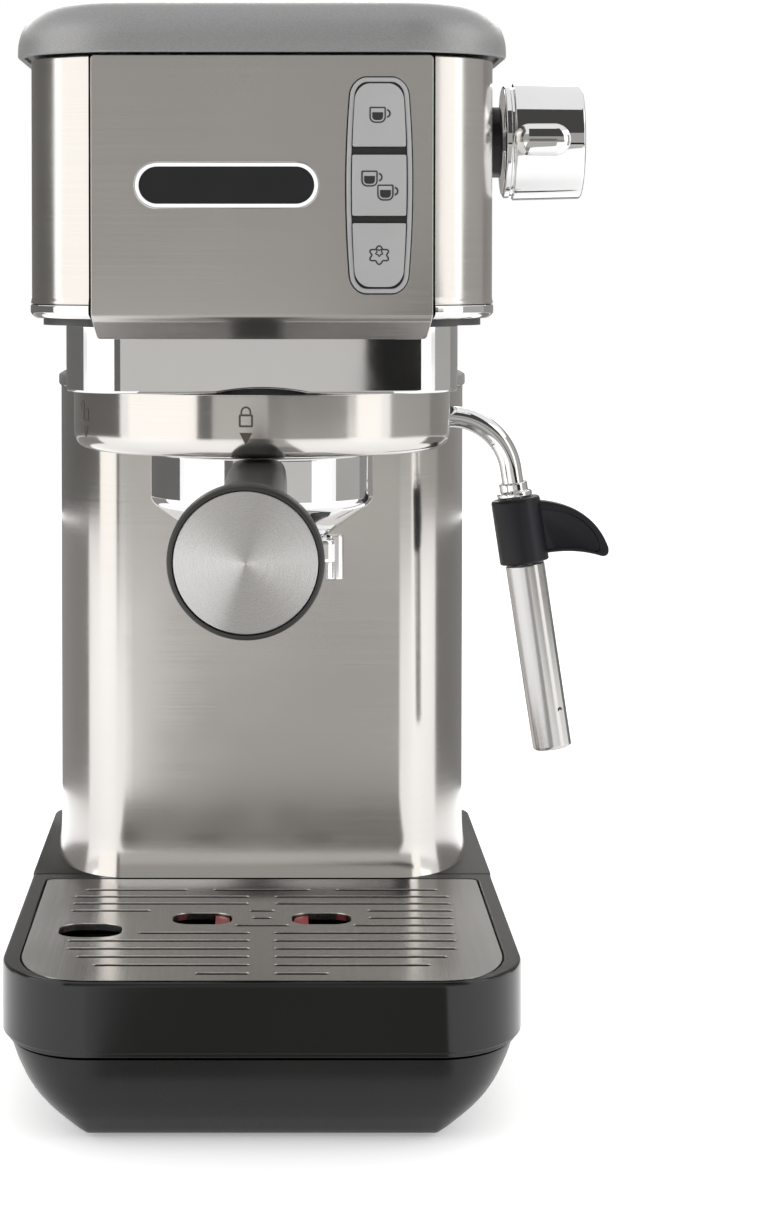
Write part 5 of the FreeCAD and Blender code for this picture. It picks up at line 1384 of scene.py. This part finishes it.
@dataclass
class Controls:
    """Button bezel, buttons with their pictures, and the badge.

    Attributes:
        bezel_x: the bezel's limits in X.
        bezel_z: its limits in Z.
        bezel_face: its face in Y.
        button_x: the buttons' limits in X.
        buttons: each button's picture and limits in Z.
        face: the buttons' face in Y.
        back: their back in Y.
        badge_centre: X and Z of the badge's middle.
        badge_size: its width and height.
    """

    bezel_x: tuple[float, float] = (24.5, 42.8)
    bezel_z: tuple[float, float] = (245.6, 307.4)
    bezel_face: float = -122.2
    button_x: tuple[float, float] = (26.0, 41.2)
    buttons: tuple[tuple[Sign, float, float], ...] = (
        (Sign.ONE_CUP, 287.6, 305.7), (Sign.TWO_CUPS, 267.8, 285.3), (Sign.STEAM, 247.4, 265.7)
    )
    face: float = -123.0
    back: float = -116.2
    badge_centre: tuple[float, float] = (-10.2, 276.6)
    badge_size: tuple[float, float] = (53.3, 13.6)

    def build(self) -> None:
        """Make every piece of the controls."""
        self.make_bezel()
        for sign, z0, z1 in self.buttons:
            self.make_button(sign, z0, z1)
        self.make_badge()

    def make_bezel(self) -> None:
        """The bezel: a raised section carried round the buttons, and the floor between them, coloured near
        black as painted shade in the gaps round the buttons.
        """
        outer = barrel(rounded_box_loop(self.bezel_x, self.bezel_z, 5.0, 12))
        high = -self.bezel_face
        section = closed_fillet([(0.0, 117.6), (0.0, high), (-1.3, high), (-1.3, 117.6)], 0.3, 4)
        edge = Skin().ring(facing_front(rim(outer, section)))
        edge.piece("bezel_rim", "machine", BEZEL, ["button_bezel"])
        inner = outer - loop_normals(outer) * 1.1
        keys = [self.button_loop(*limits) for limits in self.buttons]
        skin = Skin()
        for y in (self.bezel_face + 0.9, -118.4):
            skin.fill(inner, [key + loop_normals(key) * 0.15 for key in keys], upright(y))
        # The floor is grey plastic, but it takes the black finish as painted shade in the recess between
        # the buttons.
        skin.piece("bezel_floor", "machine", INK_AND_PAINTED_SHADE, slot="grey_plastic")

    def button_loop(self, sign: Sign, z0: float, z1: float) -> Array:
        """Outline of a button, its outer corners round and its inner ones nearly square."""
        low = 4.6 if sign is Sign.STEAM else 0.5
        high = 4.6 if sign is Sign.ONE_CUP else 0.5
        return barrel(rounded_box_loop(self.button_x, (z0, z1), low, 8, high))

    def make_button(self, sign: Sign, z0: float, z1: float) -> None:
        """A button: rounded walls under a slightly domed face, and its printed picture."""
        loop = self.button_loop(sign, z0, z1)
        centre = np.array([sum(self.button_x) / 2, (z0 + z1) / 2])
        top = -self.face
        bottom, edge = -self.back, top - 0.3
        section = fillet([(-0.3, bottom), (0.0, bottom), (0.0, edge), (-0.34, edge)], [0.2, 0.25], 6)
        wall = rim(loop, section)
        share = np.linspace(0.97, 0.03, 14)[:, None, None]
        dome_loop = centre + (wall[-1, :, :2] - centre)[None] * share
        height = edge + 0.3 * (1 - share[..., 0] ** 2) * np.ones(len(loop))[None]
        dome = np.concatenate([dome_loop, height[..., None]], -1)
        body = f"{sign.value}_button"
        grid = facing_front(np.concatenate([wall, dome]))
        Skin().capped(grid).piece(f"{sign.value}_key", body, BUTTON, [f"button_{sign.value}"])
        skin = Skin()
        for outline, holes in self.picture(sign):
            placed = [hole + centre for hole in holes]
            skin.fill(outline + centre, placed, upright(self.face - 0.03))
        skin.piece(f"{sign.value}_print", body, INK_AND_PAINTED_SHADE, slot="black_plastic")

    def picture(self, sign: Sign) -> list[tuple[Array, list[Array]]]:
        """Flat outlines of a button's picture about the button's centre."""
        if sign is Sign.ONE_CUP:
            return self.cup(-0.5, 0.0)
        if sign is Sign.TWO_CUPS:
            return self.cup(-2.8, 1.9) + self.cup(1.75, -2.1)
        a = np.linspace(0, 2 * math.pi, 96, endpoint=False)
        outer = 2.45 + 0.42 * np.cos(6 * a + math.pi)
        inner = 0.85 + 0.2 * np.cos(5 * a + math.pi / 2)
        cloud = np.c_[outer * np.cos(a) * 1.04, outer * np.sin(a) * 0.92]
        puff = np.c_[inner * np.cos(a), 0.7 + inner * np.sin(a)]
        return [stroke(cloud, 0.42), stroke(puff, 0.34)]

    def cup(self, x: float, y: float) -> list[tuple[Array, list[Array]]]:
        """A glass cup from the side: its outline, the coffee in it and its handle."""
        glass = rounded_box_loop((-2.15, 2.15), (-2.1, 2.1), 1.5, 6, 0.25)
        coffee = rounded_box_loop((-1.55, 1.55), (-1.5, 0.75), 1.0, 5, 0.1)
        a = np.linspace(-1.25, 1.25, 16)
        outer = np.c_[2.3 + 1.45 * np.cos(a), 0.4 + 1.35 * np.sin(a)]
        inner = np.c_[2.3 + 1.0 * np.cos(a[::-1]), 0.4 + 0.9 * np.sin(a[::-1])]
        shapes = [stroke(refined(glass, 0.5), 0.4), (coffee, []), (np.vstack([outer, inner]), [])]
        return [(o + [x, y], [h + [x, y] for h in holes]) for o, holes in shapes]

    def make_badge(self) -> None:
        """The badge: a gently domed black stadium, its bright rim, and inside the rim a fine white line
        that is a painted reflection of the chrome.
        """
        w, h = self.badge_size
        half = h / 2 - 0.01
        plate = centred_box_loop(self.badge_centre, (w - 2, h - 2), half - 1.0, 16)
        rows = rim(plate, fillet([(0.0, 121.0), (0.0, 122.1), (-0.4, 122.1)], [0.2], 4))
        Skin().capped(facing_front(rows)).piece("badge_face", "machine", GLOSS_BLACK, ["badge_plate"])
        outer = centred_box_loop(self.badge_centre, self.badge_size, half, 16)
        section = closed_fillet([(0.0, 121.0), (0.0, 122.5), (-0.5, 122.5), (-0.5, 121.0)], 0.2, 4)
        edge = Skin().ring(facing_front(rim(outer, section)))
        edge.piece("badge_edge", "machine", SATIN_CHROME, ["badge_rim"])
        # The white band just inside the rim is a painted reflection of the chrome.
        band = closed_fillet([(-0.4, 121.4), (-0.4, 122.45), (-1.45, 122.45), (-1.45, 121.4)], 0.12, 3)
        Skin().ring(facing_front(rim(outer, band))).piece("badge_glint_line", "machine", CHROME_GLINT_WHITE, slot="chrome")


# --- steam ----------------------------------------------------------------------------------------


@dataclass
class Steam:
    """Steam knob, its bushing, and the wand with its grip and sleeve.

    Attributes:
        knob_axis: Y and Z of the knob's axis.
        knob_x: the knob's inner and outer end.
        knob_radius: its radius.
        swivel: X and Y of the wand's swivel.
        run_z: height of the pipe's level run.
        lean: how far the wand leans out for each millimetre down.
        wand_ref: X and Z of a point on the wand's axis.
        pipe_radius: the pipe's radius.
        fin_half: half the thickness of the grip's fin.
        hole_z: height of the air hole in the sleeve.
        hole_turn: where it faces, in degrees from +X.
    """

    knob_axis: tuple[float, float] = (-60.0, 291.5)
    knob_x: tuple[float, float] = (73.8, 98.0)
    knob_radius: float = 18.0
    swivel: tuple[float, float] = (50.0, -8.0)
    run_z: float = 204.0
    lean: float = 0.1518
    wand_ref: tuple[float, float] = (82.9, 177.0)
    pipe_radius: float = 3.5
    fin_half: float = 2.8
    hole_z: float = 108.5
    hole_turn: float = -52.0

    def build(self) -> None:
        """Make every piece of the steam side."""
        self.make_knob()
        self.make_pipe()
        self.make_wand_grip()
        self.make_sleeve()
        softened("wand_swivel_bush", "machine", BLACK, 0.2)
        softened("wand_nozzle", "wand", BLACK, 0.2)

    def on_knob(self, grid: Array) -> Array:
        """Lay a shape turned about Z along the knob's axis: its height becomes X."""
        y, z = self.knob_axis
        return np.stack([grid[..., 2], y + grid[..., 0], z + grid[..., 1]], -1)

    def make_knob(self) -> None:
        """The knob: a turned body, a thumb ridge in front, and the dark bushing behind."""
        x0, x1 = self.knob_x
        r = self.knob_radius
        body = fillet(
            [(3.2, x0 + 0.4), (r - 1.4, x0), (r - 0.7, x0 + 0.4), (r - 0.7, x0 + 1.9), (r - 1.3, x0 + 2.1),
             (r - 1.3, x0 + 2.9), (r, x0 + 3.1), (r - 0.5, x1 - 0.4), (r - 1.4, x1), (2.0, x1 - 0.5)],
            [0.4, 0.2, 0.1, 0.1, 0.1, 0.2, 0.6, 0.6], 5,
        )
        skin = Skin().capped(self.on_knob(revolve(body, 144)))
        y, z = self.knob_axis
        ridge = rounded_box_loop((x0 + 2.0, x0 + 19.8), (z - 5.0, z + 5.0), 4.98, 24)
        top = -(y - r - 1.9)
        a = np.linspace(0, math.pi / 2, 14)
        dome = np.vstack([[(0.4, top - 7.0)], np.c_[-4.9 * (1 - np.cos(a)), top - 3.6 * (1 - np.sin(a))]])
        skin.capped(facing_front(rim(ridge, dome)))
        skin.piece("knob_body", "steam_knob", CHROME, ["steam_knob"])
        bush = fillet(
            [(3.4, 66.0), (8.8, 66.0), (8.8, 68.7), (11.0, 68.7), (11.0, 73.3), (3.4, 73.3)],
            [0.3, 0.2, 0.5, 0.6], 4,
        )
        Skin().ring(self.on_knob(revolve(bush, 72))).piece("knob_bush", "machine", BLACK, ["knob_bushing"])

    def wand_x(self, z: Array | float) -> Array | float:
        """X of the wand's axis at a height."""
        return self.wand_ref[0] + (self.wand_ref[1] - z) * self.lean

    def on_wand(self, profile: Array, steps: int = 64) -> Array:
        """Turn a (radius, height) profile about the wand's leaning axis, heights being along Z."""
        p = np.asarray(profile, float)
        tilt = math.atan(self.lean)
        a = np.linspace(0, 2 * math.pi, steps, endpoint=False)[None, :]
        r, z = p[:, :1], p[:, 1:]
        side = r * np.cos(a)
        x = self.wand_x(z) + side * math.cos(tilt)
        y = self.swivel[1] + r * np.sin(a) * np.ones_like(z)
        return np.stack([x, y, z + side * math.sin(tilt)], -1)

    def make_pipe(self) -> None:
        """The pipe: down from the swivel, a bend, a level run to the right, a bend, and the leaning run."""
        x, y = self.swivel
        bend, wide = 10.0, 20.0
        lean = math.atan(self.lean)
        a = np.linspace(0, math.pi / 2, 18)[1:]
        first = np.c_[x + bend * (1 - np.cos(a)), self.run_z + bend * (1 - np.sin(a))]
        corner_x = self.wand_x(self.run_z)
        sweep_angle = math.pi / 2 - lean
        reach = wide * math.tan(sweep_angle / 2)
        b = np.linspace(0, sweep_angle, 30)
        second = np.c_[corner_x - reach + wide * np.sin(b), self.run_z - wide * (1 - np.cos(b))]
        low = 152.0
        path = np.vstack([[(x, 228.0)], [(x, self.run_z + bend)], first, second, [(self.wand_x(low), low)]])
        flat = np.c_[path[:, 0], np.full(len(path), y), path[:, 1]]
        tube = sweep(flat, np.full(len(flat), self.pipe_radius), 40, (0, 1, 0))
        Skin().capped(tube).piece("steam_pipe", "wand", CHROME, ["wand_pipe"])
        nut = fillet(
            [(3.6, 182.4), (4.6, 182.4), (4.6, 179.6), (5.7, 179.4), (5.7, 177.8), (3.6, 177.8)],
            [0.4, 0.3, 0.4, 0.4], 4,
        )
        Skin().ring(self.on_wand(nut)).piece("pipe_nut", "wand", CHROME, ["wand_nut"])

    def fin_loop(self) -> Array:
        """Outline of the grip's fin in X and Z: two curves that meet at a rounded tip."""
        t = np.linspace(0, 1, 26)[:, None]
        heel, tip = np.array([86.0, 176.9]), np.array([113.2, 161.4])
        nose, foot = np.array([111.2, 158.4]), np.array([88.0, 158.4])
        upper = quadratic(heel, np.array([107.5, 177.0]), tip, t)
        lower = quadratic(nose, np.array([100.5, 161.8]), foot, t)
        round_tip = quadratic(tip, np.array([113.8, 158.4]), nose, t[1:-1:3])
        return np.vstack([upper, round_tip, lower])[::-1]

    def make_wand_grip(self) -> None:
        """The grip: a turned body with a soft shoulder, and a fin with rounded edges and a low pad."""
        body = fillet([(3.7, 177.4), (8.0, 177.4), (8.0, 156.4), (3.7, 156.4)], [1.2, 0.6], 8)
        skin = Skin().ring(self.on_wand(body))
        loop = self.fin_loop()
        half = self.fin_half
        edge = fillet([(-0.9, -half), (0.0, -half), (0.0, half), (-0.9, half)], [0.85, 0.85], 5)
        rows = rim(loop, edge)
        middle = np.append(loop.mean(0) - [0.8, 0.0], 0.0)
        for share, depth in ((0.78, half), (0.76, half - 0.15), (0.74, half - 0.7), (0.72, half - 0.75)):
            ring = np.c_[loop, np.full(len(loop), 0.0)]
            inner = (middle + (ring - middle) * share)[None]
            rows = np.concatenate([inner + [0, 0, -depth], rows, inner + [0, 0, depth]])
        skin.capped(facing_front(rows, self.swivel[1]))
        skin.piece("wand_handle", "wand", SOFT_GRIP, ["wand_grip"])

    def make_sleeve(self) -> None:
        """The sleeve: a thin tube about the leaning axis, rolled in at its foot, and a black disc on it as
        painted shade for its air hole.
        """
        profile = fillet(
            [(4.78, 105.0), (4.78, 155.8), (6.35, 155.8), (6.35, 95.3),
             (3.2, 95.3), (3.2, 104.0), (4.78, 105.0)],
            [0.2, 0.5, 1.1, 0.3, 0.2], 6,
        )
        tube = Skin().ring(self.on_wand(profile[:-1], 72))
        tube.piece("froth_tube", "sleeve", SLEEVE_STEEL, ["frothing_sleeve"])
        a = np.linspace(0, 2 * math.pi, 24, endpoint=False)[:, None]
        turn, z = math.radians(self.hole_turn), self.hole_z
        out, hole_radius = 6.37, 0.9
        x, y = self.wand_x(z) + out * math.cos(turn), self.swivel[1] + out * math.sin(turn)
        side, up = np.array([-math.sin(turn), math.cos(turn), 0.0]), np.array([0.0, 0.0, 1.0])
        ring = np.array([x, y, z]) + hole_radius * (np.cos(a) * side + np.sin(a) * up)
        # No hole is cut: this black disc, a hair proud of the sleeve, is painted shade where the air hole
        # is.
        Skin().cap(ring).piece("air_hole", "sleeve", INK_AND_PAINTED_SHADE, slot="black_plastic")


# --- tank and works -------------------------------------------------------------------------------


class Tank:
    """The water tank behind the column."""

    def build(self) -> None:
        """Dress the tank's nodes, with their edges rounded."""
        softened("water_tank", "tank", SMOKED, 0.4)
        softened("tank_valve", "tank", BLACK, 0.3)


CARRIED: dict[str, Finish] = {
    "bottom_plate": BLACK, "screws": PLAIN_STEEL, "rubber_feet": RUBBER, "control_board": BOARD,
    "thermoblock": CAST, "pump": BLACK, "pump_mounts": RUBBER, "solenoid_valve": BLACK, "steam_valve": CAST,
    "hoses": SILICONE, "tank_socket": BLACK, "valve_spindle": PLAIN_STEEL, "basket_spring": PLAIN_STEEL,
    "handle_bolt": PLAIN_STEEL, "lid_pins": PLAIN_STEEL,
}


def dress_carried() -> None:
    """Give each CAD node that stays as it is its finish."""
    for node, finish in CARRIED.items():
        mesh = frame["nodes"][node].data
        mesh.materials.clear()
        mesh.materials.append(finish.material())
        log.info("%s: kept, %s", node, finish.name)


# --- studio ---------------------------------------------------------------------------------------


@dataclass
class Studio:
    """Floor, lights and camera, in metres.

    Attributes:
        camera_at: where the camera stands.
        pitch: how far it looks down, in degrees.
        lens: focal length.
        shift: sideways and upwards shift.
        floor_half: half the floor's width.
        cards: name, angles in degrees, radius, heights and tone of each bent card.
        floor_cards: name, near and far edge as (Y, left X, right X), and tone of each card on the floor.
        card_height: how far those lie above the floor.
        light_turn: how far the lights stand round to the sides, in degrees.
        light_reach: their distance.
        light_z: their height.
        light_size: their width and height.
        light_power: their power in watts.
    """

    camera_at: tuple[float, float, float] = (0.0, -0.95268, 0.255)
    pitch: float = 2.0
    lens: float = 85.1
    shift: tuple[float, float] = (0.0993, -0.2046)
    floor_half: float = 6.0
    cards: tuple[tuple, ...] = (
        ("left_white", (-84, -37), 1.45, (0.0, 1.1), 1.5),
        ("right_white", (50, 73), 1.45, (0.0, 1.1), 1.5),
        ("room_low", (-37, 50), 1.5, (0.0, 0.215), 0.62),
        ("room_high", (-37, 50), 1.5, (0.215, 1.1), 0.43),
        ("camera_low", (3.3, 55), 1.2, (0.15, 0.222), 0.02),
        ("camera_high", (3.3, 50), 1.2, (0.6, 2.6), 0.07),
        ("left_gap", (-37, -28), 1.4, (0.0, 1.0), 0.15),
        ("left_side", (-175, -84), 0.5, (0.13, 0.45), 0.16),
        ("left_foot", (-175, -108), 0.46, (0.0, 0.13), 0.3),
        ("right_side", (73, 112), 0.5, (0.13, 0.45), 0.45),
        ("right_back", (112, 172), 0.5, (0.13, 0.45), 0.3),
        ("right_foot", (109, 172), 0.46, (0.0, 0.13), 0.24),
    )
    floor_cards: tuple[tuple, ...] = (
        ("front_near", (-0.15, -0.05, 0.07), (-0.4, -0.058, 0.12), 0.3),
        ("front_far", (-0.4, -0.058, 0.12), (-1.5, -0.1, 0.34), 0.5),
    )
    card_height: float = 0.002
    light_turn: float = 70.0
    light_reach: float = 1.5
    light_z: float = 0.9
    light_size: tuple[float, float] = (1.4, 1.4)
    light_power: float = 7.0

    def build(self) -> None:
        """Make floor, lights and camera."""
        self.make_floor()
        self.make_lights()
        self.make_camera()

    def make_floor(self) -> None:
        """A wide pale floor."""
        h = self.floor_half
        mesh = bpy.data.meshes.new("floor")
        mesh.from_pydata([(-h, -h, 0), (h, -h, 0), (h, h, 0), (-h, h, 0)], [], [(0, 1, 2, 3)])
        floor = bpy.data.objects.new("floor", mesh)
        bpy.context.scene.collection.objects.link(floor)
        net = Net("studio_floor").set(Base_Color=(0.9, 0.9, 0.9, 1.0), Roughness=0.7)
        net.set(Emission_Color=(1.0, 1.0, 1.0, 1.0), Emission_Strength=0.32)
        mesh.materials.append(net.material)

    def add_card(self, name: str, points: Array, tone: float) -> None:
        """A four-sided or bent card that only shows in shiny surfaces.

        Args:
            name: its name.
            points: its lower and upper edge, shape (2, n, 3).
            tone: how bright it is.
        """
        n = points.shape[1]
        k = np.arange(n - 1)
        faces = np.stack([k, k + 1, k + 1 + n, k + n], -1)
        mesh = bpy.data.meshes.new(name)
        mesh.from_pydata(points.reshape(-1, 3).tolist(), [], faces.tolist())
        card = bpy.data.objects.new(name, mesh)
        bpy.context.scene.collection.objects.link(card)
        strength = max(1.0, tone / 1.5)
        colour = (tone / strength * 1.02, tone / strength, tone / strength * 0.96, 1.0)
        net = Net(name).set(Base_Color=(0, 0, 0, 1), Roughness=1.0, Specular_IOR_Level=0.0)
        net.set(Emission_Color=colour, Emission_Strength=strength)
        mesh.materials.append(net.material)
        card.visible_camera = False
        card.visible_diffuse = False
        card.visible_shadow = False
        card.visible_transmission = False

    def bent_card(
        self, name: str, turn: Sequence[float], radius: float, z: Sequence[float], tone: float
    ) -> None:
        """A card on a circle about the machine, its angles in degrees from the front to the right."""
        a = np.radians(np.linspace(*turn, 24))
        x, y = radius * np.sin(a), -radius * np.cos(a)
        self.add_card(name, np.stack([np.stack([x, y, 0 * a + h], -1) for h in z]), tone)

    def add_light(self, name: str, at: Sequence[float]) -> None:
        """A soft rectangular light that faces the machine."""
        light = bpy.data.lights.new(name, "AREA")
        light.shape = "RECTANGLE"
        light.size, light.size_y = self.light_size
        light.energy = self.light_power
        lamp = bpy.data.objects.new(name, light)
        bpy.context.scene.collection.objects.link(lamp)
        lamp.location = at
        aim = Vector((0.0, 0.0, at[2])) - Vector(at)
        lamp.rotation_euler = aim.to_track_quat("-Z", "Y").to_euler()

    def make_lights(self) -> None:
        """Wide lights on both sides, cards that shape the reflections, and an even white surround."""
        turn = math.radians(self.light_turn)
        x, y = self.light_reach * math.sin(turn), -self.light_reach * math.cos(turn)
        for name, side in (("left_light", -1), ("right_light", 1)):
            self.add_light(name, (side * x, y, self.light_z))
        for card in self.cards:
            self.bent_card(*card)
        for name, near, far, tone in self.floor_cards:
            points = [[(x, y, self.card_height) for x in limits] for y, *limits in (near, far)]
            self.add_card(name, np.array(points), tone)
        glow = [[(x, 1.4, z) for x in (-0.9, 0.9)] for z in (0.12, 1.2)]
        self.add_card("back_glow", np.array(glow), 6.0)
        world = bpy.data.worlds.new("surround")
        bpy.context.scene.world = world
        world.use_nodes = True
        background = world.node_tree.nodes["Background"]
        background.inputs["Color"].default_value = (1.0, 1.0, 1.0, 1.0)
        background.inputs["Strength"].default_value = 1.0
        bpy.context.scene.view_settings.view_transform = "Standard"

    def make_camera(self) -> None:
        """The camera, level but for its small pitch."""
        data = bpy.data.cameras.new("camera")
        data.lens = self.lens
        data.sensor_width = 36.0
        data.shift_x, data.shift_y = self.shift
        data.clip_start, data.clip_end = 0.01, 50.0
        camera = bpy.data.objects.new("camera", data)
        bpy.context.scene.collection.objects.link(camera)
        camera.location = self.camera_at
        camera.rotation_euler = (math.radians(90 - self.pitch), 0.0, 0.0)
        bpy.context.scene.camera = camera


def main() -> None:
    """Build the machine part by part, then the studio round it."""
    logging.basicConfig(level=logging.INFO, format="%(message)s")
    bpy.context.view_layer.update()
    parts = (Base(), Column(), Group(), Portafilter(), Head(), Controls(), Steam(), Tank())
    for part in parts:
        log.info("building %s", type(part).__name__)
        part.build()
    dress_carried()
    Studio().build()


if __name__ == "__main__":
    main()
